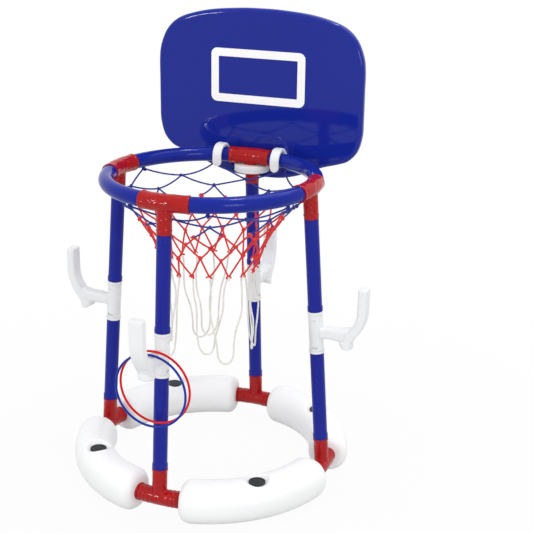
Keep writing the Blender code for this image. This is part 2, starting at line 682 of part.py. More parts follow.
def backboard_mesh():
    """Hollow backboard with rounded edges, a raised boss and the holes for its screws."""
    edge = BOARD_EDGE_RADIUS
    soft = edge * (1 - math.sin(math.pi / 4))
    outer = slab("board", [
        (edge, BOARD_FRONT),
        (soft, BOARD_FRONT + soft),
        (0, BOARD_FRONT + edge),
        (0, BOARD_BACK - edge),
        (soft, BOARD_BACK - soft),
        (edge, BOARD_BACK),
    ])
    inner = slab("inner", [
        (edge + BOARD_WALL, BOARD_FRONT + BOARD_WALL),
        (2 * BOARD_WALL, BOARD_FRONT + edge),
        (2 * BOARD_WALL, BOARD_BACK - edge),
        (edge + BOARD_WALL, BOARD_BACK - BOARD_WALL),
    ], 2)
    low = (-SOLID_HALF_WIDTH, BOARD_FRONT, RIM_HEIGHT - BOARD_BOTTOM_BELOW_RIM)
    high = (SOLID_HALF_WIDTH, BOARD_BACK, RIM_HEIGHT + SOLID_TOP_ABOVE_RIM)
    hollow = carved("hollow", inner, cut=[box("solid_part", low, high)])
    bottom = RIM_HEIGHT - BOSS_BOTTOM_BELOW_RIM
    top = RIM_HEIGHT + BOSS_TOP_ABOVE_RIM
    rings = []
    for grown, depth in ((BOSS_SLOPE, BOARD_FRONT + BOSS_ROOT), (BOSS_SLOPE, BOARD_FRONT), (0, BOSS_FRONT)):
        points = rounded_rectangle(BOSS_HALF_WIDTH + grown, bottom - grown / 2, top + grown,
                                   BOSS_CORNER_RADIUS + grown, BOSS_CORNER_STEPS)
        rings.append([Vector((x, depth, z)) for x, z in points])
    boss = skin("boss", rings)
    vent_start = Vector((0, BOARD_BACK - 2 * BOARD_WALL, RIM_HEIGHT + VENT_ABOVE_RIM))
    vent_end = Vector((0, BOARD_BACK + CUT_OVERRUN, RIM_HEIGHT + VENT_ABOVE_RIM))
    cuts = [hollow, rod("vent", vent_start, vent_end, VENT_RADIUS, SCREW_SIDES)]
    for x, z in screw_places().values():
        start = Vector((x, BOSS_FRONT - CUT_OVERRUN, z))
        end = Vector((x, BOARD_BACK + CUT_OVERRUN, z))
        cuts.append(rod("hole", start, end, SCREW_SHANK_RADIUS + SCREW_HOLE_CLEARANCE, SCREW_SIDES))
    return carved("backboard", outer, joined=[boss], cut=cuts)


def target_frame_mesh():
    """Thin white frame on the face of the backboard."""
    bottom = RIM_HEIGHT + TARGET_BOTTOM_ABOVE_RIM
    top = bottom + TARGET_HEIGHT
    line = TARGET_LINE_WIDTH
    corner = TARGET_CORNER_RADIUS
    outer = rounded_rectangle(TARGET_HALF_WIDTH, bottom, top, corner, TARGET_CORNER_STEPS)
    inner = rounded_rectangle(TARGET_HALF_WIDTH - line, bottom + line, top - line, corner / 12,
                              TARGET_CORNER_STEPS)
    back = BOARD_FRONT - FIT_GAP
    front = back - TARGET_THICKNESS
    rings = []
    for points, depth in ((outer, back), (outer, front), (inner, front), (inner, back)):
        rings.append([Vector((x, depth, z)) for x, z in points])
    return skin("target_frame", rings, closed=True)


def rim_section(offset):
    """Middle and half width of the rim tube where a plane at an offset from the axis cuts it."""
    middle = math.sqrt(RIM_RADIUS ** 2 - offset ** 2)
    return middle, RIM_TUBE_RADIUS * RIM_RADIUS / middle


def rim_clip_mesh():
    """Clip that reaches from the backboard over the rim tube and down its inner side."""
    near, near_half = rim_section(CLIP_OFFSET + CLIP_WIDTH / 2)
    far, far_half = rim_section(CLIP_OFFSET - CLIP_WIDTH / 2)
    turn = QUARTER_TURN / CLIP_ARCH_STEPS
    spread = 1 / math.cos(turn / 2)
    across = (max(near_half, far_half) + FIT_GAP) * spread
    rise = (RIM_TUBE_RADIUS + FIT_GAP) * spread
    arch = []
    for k in range(CLIP_ARCH_STEPS + 1):
        arch.append((near, math.pi - turn * k))
    for k in range(CLIP_ARCH_STEPS // 2 + 1):
        arch.append((far, QUARTER_TURN - turn * k))
    tip = RIM_HEIGHT - CLIP_TIP_DROP
    under = [(near - across, tip)]
    over = [(near - across - CLIP_THICKNESS, tip)]
    for middle, angle in arch:
        under.append((middle + across * math.cos(angle), RIM_HEIGHT + rise * math.sin(angle)))
        over.append((middle + (across + CLIP_THICKNESS) * math.cos(angle),
                     RIM_HEIGHT + (rise + CLIP_THICKNESS) * math.sin(angle)))
    foot_front = BOARD_SEAT - CLIP_FOOT_THICKNESS
    foot_bottom = RIM_HEIGHT - CLIP_FOOT_DROP
    sag = CLIP_THICKNESS / 2
    under += [(foot_front, under[-1][1] - sag), (foot_front, foot_bottom)]
    over += [(BOARD_SEAT, over[-1][1] - sag), (BOARD_SEAT, foot_bottom)]
    profile = under + list(reversed(over))
    rings = []
    for side in (-1, 1):
        x = side * CLIP_WIDTH / 2
        rings.append([Vector((x, y, z)) for y, z in profile])
    return carved("rim_clip", skin("clip", rings), cut=[screw_hole(0, CLIP_SCREW_HEIGHT)])


def screw_places():
    """Name and place (x, z) of each of the four screws through the backboard."""
    places = {}
    for name, side in (("left", -1), ("right", 1)):
        places["clip_screw_" + name] = (side * CLIP_OFFSET, CLIP_SCREW_HEIGHT)
        places["collar_screw_" + name] = (side * COLLAR_SCREW_OFFSET, COLLAR_SCREW_HEIGHT)
    return places


def screw_hole(x, z):
    """Cutter of a blind screw hole in a piece that seats on the backboard's boss."""
    start = Vector((x, SCREW_TIP - FIT_GAP, z))
    end = Vector((x, BOARD_SEAT + CUT_OVERRUN, z))
    return rod("screw_hole", start, end, SCREW_SHANK_RADIUS + SCREW_HOLE_CLEARANCE, SCREW_SIDES)


def collar_mesh():
    """Round collar that rings the stem of the back tee and is cut flat where the board seats."""
    top = COLLAR_TOP
    bottom = top - COLLAR_HEIGHT
    turn = Matrix.Rotation(LEGS["back"], 4, "Z")
    lean = math.tan(LEG_LEAN) * (RIM_HEIGHT - (top + bottom) / 2)
    seat = Matrix.Translation((0, RIM_RADIUS + lean, 0))
    disc = turned("disc", [
        (COLLAR_RADIUS - COLLAR_EDGE, bottom),
        (COLLAR_RADIUS, bottom + COLLAR_EDGE),
        (COLLAR_RADIUS, top - COLLAR_EDGE),
        (COLLAR_RADIUS - COLLAR_EDGE, top),
    ], COLLAR_SIDES, seat)
    stem_hole = turned("stem_hole", [(STEM_LIP_RADIUS + FIT_GAP, RIM_STEM_START),
                                     (STEM_LIP_RADIUS + FIT_GAP, LEG_LENGTH)],
                       TUBE_SIDES, turn @ leg_frame())
    behind = box("behind", (-2 * COLLAR_RADIUS, BOARD_SEAT, bottom - CUT_OVERRUN),
                 (2 * COLLAR_RADIUS, BOARD_BACK + COLLAR_RADIUS, top + CUT_OVERRUN))
    holes = [screw_hole(side * COLLAR_SCREW_OFFSET, COLLAR_SCREW_HEIGHT) for side in (-1, 1)]
    return carved("collar", disc, cut=[stem_hole, behind] + holes)


def screw_mesh():
    """Screw through the backboard, with its head on the board's back, on the plane X = 0."""
    head = BOARD_BACK + FIT_GAP
    return turned("screw", [
        (SCREW_SHANK_RADIUS / 2, SCREW_TIP),
        (SCREW_SHANK_RADIUS, SCREW_TIP + SCREW_SHANK_RADIUS),
        (SCREW_SHANK_RADIUS, head),
        (SCREW_HEAD_RADIUS, head),
        (SCREW_HEAD_RADIUS * 3 / 4, head + SCREW_HEAD_HEIGHT),
    ], SCREW_SIDES, Matrix.Rotation(-QUARTER_TURN, 4, "X"))


def net_columns(row):
    """Number of knots in a row of the net."""
    return NET_COLUMNS * NET_RED_SPLIT if row >= NET_RED_ROW else NET_COLUMNS


def net_knot(row, column):
    """Place of one knot of the net."""
    shifted = row % 2 == (1 if row >= NET_RED_ROW else 0)
    angle = 2 * math.pi * (column + shifted / 2) / net_columns(row)
    drop = NET_TOP_DROP + (NET_BOTTOM_DROP - NET_TOP_DROP) * NET_ROW_DROP_SHARES[row]
    radius = RIM_RADIUS * NET_ROW_RADIUS_SHARES[row]
    if row == 0:
        radius += NET_TOP_OUTSET
    if row == 1 and abs(angle - LEGS["back"]) < 2 * math.pi / NET_COLUMNS / 2:
        drop += NET_BACK_DROP
        radius -= NET_BACK_INSET
    return Vector((radius * math.cos(angle), radius * math.sin(angle), RIM_HEIGHT - drop))


def net_links(row):
    """Pairs of columns that strands join, from a row to the row below it."""
    links = []
    for column in range(net_columns(row)):
        if row + 1 == NET_RED_ROW:
            links += [(column, column * NET_RED_SPLIT + k) for k in range(NET_RED_SPLIT)]
            continue
        shifted = row % 2 == (1 if row >= NET_RED_ROW else 0)
        beside = (column + (1 if shifted else -1)) % net_columns(row)
        links += [(column, column), (column, beside)]
    return links


def net_rows(first, last):
    """Knots and strands of the net between two rows."""
    points = []
    starts = {}
    for row in range(first, last + 1):
        starts[row] = len(points)
        points += [net_knot(row, column) for column in range(net_columns(row))]
    strands = []
    for row in range(first, last):
        strands += [(starts[row] + above, starts[row + 1] + below) for above, below in net_links(row)]
    return points, strands


def cord_square(shape, point, along):
    """Corners of a cord's section, at a point and square to a direction."""
    side = along.cross(UP).normalized() * NET_CORD_RADIUS
    across = side.cross(along)
    return [shape.verts.new(point + offset) for offset in (side, across, -side, -across)]


def cord_mesh(name, points, strands, stubs=()):
    """Mesh of square cords along the strands, joined by a small knot at each point.

    Each stub is a pair of a point's number and a place, and its knot reaches towards that place.
    """
    shape = bmesh.new()
    ends_at = [[] for _ in points]
    sleeves = []
    for start, end in strands:
        along = (points[end] - points[start]).normalized()
        low = cord_square(shape, points[start] + along * NET_KNOT_REACH, along)
        high = cord_square(shape, points[end] - along * NET_KNOT_REACH, along)
        ends_at[start].append(low)
        ends_at[end].append(high)
        sleeves.append((low, high))
    stub_at = {}
    for number, place_above in stubs:
        along = (place_above - points[number]).normalized()
        stub_at[number] = cord_square(shape, points[number] + along * (NET_KNOT_REACH - FIT_GAP), along)
    for number, squares in enumerate(ends_at):
        if len(squares) == 1:
            shape.faces.new(squares[0])
            continue
        corners = [vertex for square in squares for vertex in square] + stub_at.get(number, [])
        hull = bmesh.ops.convex_hull(shape, input=corners)["geom"]
        faces = [item for item in hull if isinstance(item, bmesh.types.BMFace)]
        caps = [face for face in faces if any(set(face.verts) <= set(square) for square in squares)]
        bmesh.ops.delete(shape, geom=caps, context="FACES_ONLY")
    loose = [edge for edge in shape.edges if not edge.link_faces]
    bmesh.ops.delete(shape, geom=loose, context="EDGES")
    for low, high in sleeves:
        for k in range(4):
            after = (k + 1) % 4
            shape.faces.new((low[k], low[after], high[after], high[k]))
    bmesh.ops.recalc_face_normals(shape, faces=shape.faces)
    mesh = bpy.data.meshes.new(name)
    shape.to_mesh(mesh)
    shape.free()
    return mesh


def tassel_points(first, stagger):
    """Points of a white cord that hangs in a loop from two knots in the last row of the net."""
    last = len(NET_ROW_DROP_SHARES) - 1
    knot = net_knot(last, first) + UP * TASSEL_START_RISE
    radius = math.hypot(knot.x, knot.y)
    length = TASSEL_LENGTH * (1 + TASSEL_LENGTH_SWING_SHARE * math.sin(3 * first))
    half = math.pi * TASSEL_COLUMNS / net_columns(last)
    middle = math.atan2(knot.y, knot.x) + half
    sides = [(-1, 0, 0)]
    for wide, deep, sway in zip(TASSEL_SIDE_SHARES, TASSEL_DROP_SHARES, TASSEL_STAGGER_SHARES):
        sides.append((-wide, deep, stagger * sway))
    loop = sides + [(0, 1, stagger)] + [(-wide, deep, out) for wide, deep, out in reversed(sides)]
    points = []
    for wide, deep, out in loop:
        angle = middle + half * wide
        reach = radius + out
        points.append(Vector((reach * math.cos(angle), reach * math.sin(angle), knot.z - length * deep)))
    return points


def toss_ring_mesh():
    """Tossing ring that hangs below the origin, on an arm along X through the origin."""
    inner = (TOSS_RING_RADIUS - TOSS_RING_SECTION_RADIUS) * math.cos(math.pi / TOSS_RING_SIDES)
    drop = inner - HOOK_ARM_RADIUS - FIT_GAP
    rings = []
    for k in range(TOSS_RING_SIDES):
        turn = Matrix.Rotation(2 * math.pi * (k + 1 / 2) / TOSS_RING_SIDES, 4, "X")
        frame = Matrix.Translation((0, 0, -drop)) @ turn @ Matrix.Translation((0, 0, TOSS_RING_RADIUS))
        lie = Matrix.Rotation(QUARTER_TURN, 4, "X")
        rings.append(circle(frame @ lie, TOSS_RING_SECTION_RADIUS, TOSS_RING_SECTION_SIDES))
    return skin("toss_ring", rings, closed=True)


def build_base(white, black, red):
    """Floats, their plugs and the base tees."""
    float_shape = float_mesh()
    plug_shape = plug_mesh()
    for name, angle in FLOATS.items():
        turn = Matrix.Rotation(angle, 4, "Z")
        place("float_" + name, float_shape, white, turn)
        seat = turn @ Vector((BASE_RING_RADIUS, 0, 2 * FLOAT_HALF_HEIGHT - POCKET_DEPTH + FIT_GAP))
        slide = joint_empty("plug_slide_" + name, seat)
        place("float_plug_" + name, plug_shape, black, Matrix.Translation(seat), slide)
    tee_shape = base_tee_mesh()
    for name, angle in LEGS.items():
        place("base_tee_" + name, tee_shape, red, Matrix.Rotation(angle, 4, "Z"))


def build_legs(blue, white):
    """Lower tube, hooked coupler and upper tube of each leg."""
    tube_shape = leg_tube_mesh()
    coupler_shape = coupler_mesh()
    for name, angle in LEGS.items():
        turn = Matrix.Rotation(angle, 4, "Z")
        place("lower_tube_" + name, tube_shape, blue, turn @ leg_frame(LOWER_TUBE_START))
        place("hook_coupler_" + name, coupler_shape, white, turn)
        place("upper_tube_" + name, tube_shape, blue, turn @ leg_frame(UPPER_TUBE_START))


def build_rim(blue, red):
    """Tees and arcs of the rim."""
    tee_shape = rim_tee_mesh()
    for name, angle in LEGS.items():
        place("rim_tee_" + name, tee_shape, red, Matrix.Rotation(angle, 4, "Z"))
    arc_shape = rim_arc_mesh()
    for name, angle in FLOATS.items():
        place("rim_arc_" + name, arc_shape, blue, Matrix.Rotation(angle, 4, "Z"))


def build_board(blue, paint, white, metal):
    """Backboard with its target frame, clips, collar and screws."""
    place("backboard", backboard_mesh(), blue)
    place("target_frame", target_frame_mesh(), paint)
    clip_shape = rim_clip_mesh()
    for name, side in (("left", -1), ("right", 1)):
        place("rim_clip_" + name, clip_shape, white, Matrix.Translation((side * CLIP_OFFSET, 0, 0)))
    place("backboard_collar", collar_mesh(), white)
    screw_shape = screw_mesh()
    for name, (x, z) in screw_places().items():
        place(name, screw_shape, metal, Matrix.Translation((x, 0, z)))


def build_net(blue, red, white):
    """Net in its three colours of cord."""
    last = len(NET_ROW_DROP_SHARES) - 1
    tied = [(below, net_knot(NET_RED_ROW - 1, above)) for above, below in net_links(NET_RED_ROW - 1)]
    place("net_blue", cord_mesh("net_blue", *net_rows(0, NET_RED_ROW)), blue)
    place("net_red", cord_mesh("net_red", *net_rows(NET_RED_ROW, last), tied), red)
    turns = [k for k in range(net_columns(last)) if k % (2 * TASSEL_COLUMNS) < TASSEL_COLUMNS]
    for number, first in enumerate(turns):
        name = "net_tassel_" + str(number + 1)
        stagger = TASSEL_STAGGER * (1 if number % TASSEL_COLUMNS else -1)
        points = tassel_points(first, stagger)
        chain = range(len(points))
        place(name, cord_mesh(name, points, list(zip(chain, chain[1:]))), white)


def build_toss_rings(red, blue):
    """Two tossing rings on the arm of the front hook."""
    turn = Matrix.Rotation(LEGS["front"], 4, "Z")
    seat = turn @ coupler_frame()
    ring_shape = toss_ring_mesh()
    for name, reach, material in (("red", TOSS_RING_RED_REACH, red), ("blue", TOSS_RING_BLUE_REACH, blue)):
        frame = seat @ Matrix.Translation((reach, 0, 0))
        swing = joint_empty("ring_swing_" + name, frame.translation)
        place("toss_ring_" + name, ring_shape.copy(), material, frame, swing)


def main():
    """Build the whole hoop in an emptied scene."""
    for thing in list(bpy.data.objects):
        bpy.data.objects.remove(thing)
    white_float = plastic("float_white", (0.86, 0.87, 0.88), 0.38)
    plug_black = plastic("plug_black", (0.03, 0.035, 0.04), 0.55)
    red = plastic("fitting_red", (0.52, 0.02, 0.02), 0.32)
    blue = plastic("tube_blue", (0.025, 0.03, 0.30), 0.30)
    white_hook = plastic("hook_white", (0.84, 0.85, 0.86), 0.35)
    rim_blue = plastic("rim_blue", (0.02, 0.04, 0.34), 0.22)
    board_blue = plastic("board_blue", (0.02, 0.03, 0.30), 0.14)
    paint = plastic("target_white", (0.93, 0.93, 0.93), 0.35)
    metal = steel("screw_steel", (0.6, 0.6, 0.62), 0.3)
    cord_blue = plastic("cord_blue", (0.03, 0.06, 0.40), 0.7)
    cord_red = plastic("cord_red", (0.72, 0.03, 0.03), 0.7)
    cord_white = plastic("cord_white", (0.88, 0.87, 0.84), 0.8)
    ring_red = plastic("ring_red", (0.75, 0.01, 0.01), 0.3)
    ring_blue = plastic("ring_blue", (0.02, 0.07, 0.42), 0.3)
    build_base(white_float, plug_black, red)
    build_legs(blue, white_hook)
    build_rim(rim_blue, red)
    build_board(board_blue, paint, white_hook, metal)
    build_net(cord_blue, cord_red, cord_white)
    build_toss_rings(ring_red, ring_blue)


main()
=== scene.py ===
"""Looks of a floating basketball hoop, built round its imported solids.

Every moulded piece is made again with the same sizes and in the same place as its solid, but
round, filleted and finished. The net and its white cords are twisted cord. Lengths are in metres.
"""

import logging
import math
import random
from collections.abc import Callable, Iterable, Sequence
from dataclasses import dataclass, field
from enum import Enum
from typing import Any

import bmesh
import bpy
from mathutils import Matrix, Vector, noise


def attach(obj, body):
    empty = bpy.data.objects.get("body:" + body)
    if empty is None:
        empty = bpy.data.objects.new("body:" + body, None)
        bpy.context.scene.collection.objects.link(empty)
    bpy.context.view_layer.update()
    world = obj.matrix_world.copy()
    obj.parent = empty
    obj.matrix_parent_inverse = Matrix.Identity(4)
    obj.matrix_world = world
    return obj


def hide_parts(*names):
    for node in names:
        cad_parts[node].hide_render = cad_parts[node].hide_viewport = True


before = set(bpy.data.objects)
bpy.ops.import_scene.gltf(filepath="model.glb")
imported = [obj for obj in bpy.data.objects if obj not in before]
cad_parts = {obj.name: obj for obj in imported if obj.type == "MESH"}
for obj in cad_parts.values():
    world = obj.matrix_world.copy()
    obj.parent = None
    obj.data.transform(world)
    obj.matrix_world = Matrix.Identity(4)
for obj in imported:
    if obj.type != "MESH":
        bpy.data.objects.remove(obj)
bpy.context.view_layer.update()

LOG = logging.getLogger("hoop")
UP = Vector((0, 0, 1))
QUARTER_TURN = math.pi / 2
FULL_TURN = 2 * math.pi
PLAIN_SOCKETS = ("VALUE", "INT", "BOOLEAN")
CAP_RADIUS = 0.001
TIP_RADIUS = 0.0002
SOFT_EDGE = 0.0004

Point2 = tuple[float, float]
Triple = tuple[float, float, float]
Colour = Triple
Mesh = bpy.types.Mesh


class Side(Enum):
    """Place round the hoop, with its angle about the middle."""

    @property
    def label(self) -> str:
        """Its name, as the solids' names have it."""
        return self.name.lower()

    @property
    def turn(self) -> Matrix:
        """Turn that takes a piece made on +X there."""
        return Matrix.Rotation(self.value, 4, "Z")


class Leg(Side):
    """Side that a leg stands on."""

    FRONT = -math.pi / 2
    RIGHT = 0.0
    BACK = math.pi / 2
    LEFT = math.pi


class Quarter(Side):
    """Quarter of a ring between two legs."""

    FRONT_RIGHT = -math.pi / 4
    BACK_RIGHT = math.pi / 4
    BACK_LEFT = 3 * math.pi / 4
    FRONT_LEFT = -3 * math.pi / 4


# ---- Node trees

def arithmetic(operation: str, swapped: bool = False) -> Callable[["Signal", Any], "Signal"]:
    """Method of a signal that joins it and another value with a Math or Vector Math node.

    Args:
        operation: Name of the operation.
        swapped: Whether the other value comes first.

    Returns:
        The method, which takes a number, a tuple or a signal.
    """
    def method(self: "Signal", other: Any) -> "Signal":
        """Result of the operation on this signal and another value.

        Args:
            other: Number, tuple or signal.

        Returns:
            The result.
        """
        signals = [item for item in (self, other) if isinstance(item, Signal)]
        plain = all(item.socket.type in PLAIN_SOCKETS for item in signals)
        plain = plain and not isinstance(other, tuple)
        if not plain and isinstance(other, (int, float)):
            other = (other, other, other)
        pair = (other, self) if swapped else (self, other)
        kind = "ShaderNodeMath" if plain else "ShaderNodeVectorMath"
        return self.graph.node(kind, dict(enumerate(pair)), operation=operation)[0]
    return method


class Signal:
    """Output of a node, on which arithmetic adds the nodes that work it out."""

    def __init__(self, graph: "Graph", socket: bpy.types.NodeSocket) -> None:
        """Wrap a socket of a graph."""
        self.graph = graph
        self.socket = socket

    __add__ = arithmetic("ADD")
    __radd__ = arithmetic("ADD", swapped=True)
    __sub__ = arithmetic("SUBTRACT")
    __rsub__ = arithmetic("SUBTRACT", swapped=True)
    __mul__ = arithmetic("MULTIPLY")
    __rmul__ = arithmetic("MULTIPLY", swapped=True)
    __truediv__ = arithmetic("DIVIDE")

    def maths(self, operation: str, *others: Any) -> "Signal":
        """Result of a Math node, such as COSINE, whose first value is this signal."""
        values = dict(enumerate((self, *others)))
        return self.graph.node("ShaderNodeMath", values, operation=operation)[0]


def picked(sockets: Iterable[bpy.types.NodeSocket], key: str | int) -> bpy.types.NodeSocket:
    """Socket with that name, or with that number, among those in use."""
    used = [socket for socket in sockets if socket.enabled]
    return used[key] if isinstance(key, int) else next(s for s in used if s.name == key)


class Outlets:
    """Outputs of one node, by name or number."""

    def __init__(self, graph: "Graph", node: bpy.types.Node) -> None:
        """Wrap a node of a graph."""
        self.graph = graph
        self.node = node

    def __getitem__(self, key: str | int) -> Signal:
        """Output as a signal."""
        return Signal(self.graph, picked(self.node.outputs, key))


class Graph:
    """Node tree under construction."""

    def __init__(self, tree: bpy.types.NodeTree) -> None:
        """Start on a tree with no nodes."""
        self.tree = tree
        tree.nodes.clear()

    def node(self, kind: str, values: dict[str | int, Any] | None = None,
             **settings: Any) -> Outlets:
        """Add a node.

        Args:
            kind: Blender's name of the node type.
            values: Value or signal for each input, by name or number among the inputs in use.
            settings: Properties of the node, and a ramp's stops, which are set first.

        Returns:
            The node's outputs.
        """
        made = self.tree.nodes.new(kind)
        for number, (place, grey) in enumerate(settings.pop("stops", ())):
            element = made.color_ramp.elements[number]
            element.position = place
            element.color = (grey, grey, grey, 1.0)
        for name, value in settings.items():
            setattr(made, name, value)
        for key, value in (values or {}).items():
            socket = picked(made.inputs, key)
            if isinstance(value, Signal):
                self.tree.links.new(value.socket, socket)
            else:
                socket.default_value = value
        return Outlets(self, made)

    def mix(self, share: Any, first: Any, second: Any) -> Signal:
        """Colour between two colours.

        Args:
            share: Share of the second colour, from 0 to 1.
            first: Colour or signal at 0.
            second: Colour or signal at 1.

        Returns:
            The colour.
        """
        first, second = (v if isinstance(v, Signal) else (*v, 1.0) for v in (first, second))
        values = {"Factor": share, "A": first, "B": second}
        return self.node("ShaderNodeMix", values, data_type="RGBA")[0]

    def ramp(self, value: Signal, low: float, high: float) -> Signal:
        """Value from 0 to 1 as the input goes from low to high."""
        stops = ((low, 0.0), (high, 1.0))
        return self.node("ShaderNodeValToRGB", {"Fac": value}, stops=stops)["Color"]


class Surface(Graph):
    """Material under construction."""

    def __init__(self, name: str) -> None:
        """Start a material.

        Args:
            name: Name of the material.
        """
        self.material = bpy.data.materials.new(name)
        self.material.use_nodes = True
        super().__init__(self.material.node_tree)
        self.place = self.node("ShaderNodeTexCoord")["Object"]

    def stretched(self, scale: Triple) -> Signal:
        """Place on the piece, multiplied by a scale for each axis."""
        values = {"Vector": self.place, "Scale": scale}
        return self.node("ShaderNodeMapping", values, vector_type="POINT")[0]

    def along_ring(self, radius: float, stretch: float) -> Signal:
        """Place on the piece as it lies along a ring about Z, centred between X and Y.

        Args:
            radius: Radius of the ring.
            stretch: How much longer things get along it.

        Returns:
            The distance along the ring, the distance from Z and the height.
        """
        split = self.node("ShaderNodeSeparateXYZ", {"Vector": self.place})
        ahead = split["X"] + split["Y"]
        aside = split["Y"] - split["X"]
        angle = aside.maths("ARCTAN2", ahead)
        out = (ahead * ahead + aside * aside).maths("SQRT") * math.sqrt(0.5)
        values = {"X": angle * (radius / stretch), "Y": out, "Z": split["Z"]}
        return self.node("ShaderNodeCombineXYZ", values)[0]

    def noise(self, scale: float, detail: float = 3.0, place: Signal | None = None,
              distortion: float = 0.0) -> Signal:
        """Soft noise from 0 to 1.

        Args:
            scale: Number of its features in a metre.
            detail: Number of finer layers.
            place: Coordinates, which are the piece's own unless given.
            distortion: How much it swirls.

        Returns:
            The noise.
        """
        values = {"Vector": place or self.place, "Scale": scale, "Detail": detail,
                  "Distortion": distortion}
        return self.node("ShaderNodeTexNoise", values)["Fac"]

    def cells(self, scale: float) -> Signal:
        """Distance to the nearest of a cloud of points, as tiny pits have it."""
        values = {"Vector": self.place, "Scale": scale}
        return self.node("ShaderNodeTexVoronoi", values)["Distance"]

    def bump(self, height: Signal, distance: float, below: Signal | None = None) -> Signal:
        """Normal of a surface that a height moves.

        Args:
            height: Height from 0 to 1.
            distance: How far the height moves the surface.
            below: Normal of another bump that lies under this one.

        Returns:
            The normal.
        """
        under = {"Normal": below} if below else {}
        values = {"Height": height, "Distance": distance, "Strength": 1.0, **under}
        return self.node("ShaderNodeBump", values)["Normal"]

    def end(self, shader: Signal) -> bpy.types.Material:
        """End the material with a shader."""
        self.node("ShaderNodeOutputMaterial", {"Surface": shader})
        return self.material

    def finish(self, **values: Any) -> bpy.types.Material:
        """End the material with a Principled shader.

        Args:
            values: Inputs of the shader, with _ for a space in their names.

        Returns:
            The material.
        """
        inputs = {name.replace("_", " "): value for name, value in values.items()}
        return self.end(self.node("ShaderNodeBsdfPrincipled", inputs)["BSDF"])


# ---- Finishes

@dataclass(frozen=True)
class Finish:
    """Look of a material, with the record's slot that it is for."""

    name: str
    slot: str
    colour: Colour

    def shade(self, share: float) -> Colour:
        """Colour made lighter or darker by a share."""
        return tuple(min(1.0, part * share) for part in self.colour)


@dataclass(frozen=True)
class MouldedPlastic(Finish):
    """Injection or blow moulded plastic.

    The mottle changes its colour in soft patches. The grain is the mould's fine texture, the
    ripple is the slow waviness of a thin or lumpy moulding, the streaks are pale lines along Z,
    and the rubs are dull patches from handling.
    """

    roughness: float
    specular: float
    mottle: float
    mottle_scale: float
    grain: float = 0.00002
    grain_scale: float = 900.0
    ripple: float = 0.0
    ripple_scale: float = 40.0
    ripple_stretch: float = 1.0
    ripple_radius: float = 0.2
    streaks: float = 0.0
    streak_scale: Triple = (520.0, 520.0, 9.0)
    streak_shade: float = 1.8
    rubs: float = 0.06
    rub_scale: float = 55.0
    grain_gloss: float = 0.04

    def material(self) -> bpy.types.Material:
        """Build the material.

        Returns:
            The material.
        """
        make = Surface(self.name)
        patches = make.noise(self.mottle_scale, 4.0)
        colour = make.mix(patches, self.shade(1 - self.mottle), self.shade(1 + self.mottle))
        if self.streaks:
            lines = make.noise(1.0, 2.0, make.stretched(self.streak_scale))
            share = make.ramp(lines, 0.45, 0.75) * self.streaks
            colour = make.mix(share, colour, self.shade(self.streak_shade))
        rubbed = make.ramp(make.noise(self.rub_scale, 6.0, distortion=0.6), 0.5, 0.8)
        fine = make.noise(self.grain_scale, 2.0)
        normal = make.bump(fine, self.grain)
        if self.ripple:
            place = make.along_ring(self.ripple_radius, self.ripple_stretch)
            waves = make.noise(self.ripple_scale, 2.0, place, 0.8)
            normal = make.bump(waves, self.ripple, normal)
        roughness = self.roughness + rubbed * self.rubs + (fine - 0.5) * self.grain_gloss
        return make.finish(Base_Color=colour, Roughness=roughness, Normal=normal,
                           Specular_IOR_Level=self.specular)


@dataclass(frozen=True)
class TwistedCord(Finish):
    """Cord of twisted yarn, with loose fibres and a slightly uneven dye."""

    fibre_depth: float = 0.00012
    dye_scale: float = 60.0
    yarn_scale: float = 2600.0
    roughness: float = 0.72
    sheen: float = 0.25

    def material(self) -> bpy.types.Material:
        """Build the material.

        Returns:
            The material.
        """
        make = Surface(self.name)
        dye = make.noise(self.dye_scale, 5.0)
        yarn = make.noise(self.yarn_scale, 3.0, distortion=1.5)
        colour = make.mix(dye, self.shade(0.82), self.shade(1.12))
        colour = make.mix(make.ramp(yarn, 0.55, 0.8) * 0.35, colour, self.shade(1.5))
        return make.finish(Base_Color=colour, Roughness=self.roughness + (yarn - 0.5) * 0.2,
                           Sheen_Weight=self.sheen, Specular_IOR_Level=0.25,
                           Normal=make.bump(yarn, self.fibre_depth))


@dataclass(frozen=True)
class MouldedRubber(Finish):
    """Dull rubber with a bloom and fine pits."""

    bloom_scale: float = 140.0
    pit_scale: float = 1500.0
    pit_depth: float = 0.00005
    roughness: float = 0.5

    def material(self) -> bpy.types.Material:
        """Build the material.

        Returns:
            The material.
        """
        make = Surface(self.name)
        bloom = make.ramp(make.noise(self.bloom_scale, 5.0), 0.4, 0.75)
        colour = make.mix(bloom * 0.5, self.colour, self.shade(2.0))
        return make.finish(Base_Color=colour, Roughness=self.roughness + bloom * 0.2,
                           Specular_IOR_Level=0.35,
                           Normal=make.bump(make.cells(self.pit_scale), self.pit_depth))


@dataclass(frozen=True)
class PrintedPaint(Finish):
    """Paint, rolled on thick enough to level out, with a faint orange peel."""

    peel_scale: float = 420.0
    peel_depth: float = 0.00003
    thin_scale: float = 75.0
    thin_shade: float = 0.965
    roughness: float = 0.3

    def material(self) -> bpy.types.Material:
        """Build the material.

        Returns:
            The material.
        """
        make = Surface(self.name)
        peel = make.noise(self.peel_scale, 2.0)
        thin = make.ramp(make.noise(self.thin_scale, 5.0), 0.35, 0.7)
        colour = make.mix(thin, self.shade(self.thin_shade), self.colour)
        return make.finish(Base_Color=colour, Roughness=self.roughness + peel * 0.1,
                           Specular_IOR_Level=0.4, Normal=make.bump(peel, self.peel_depth))


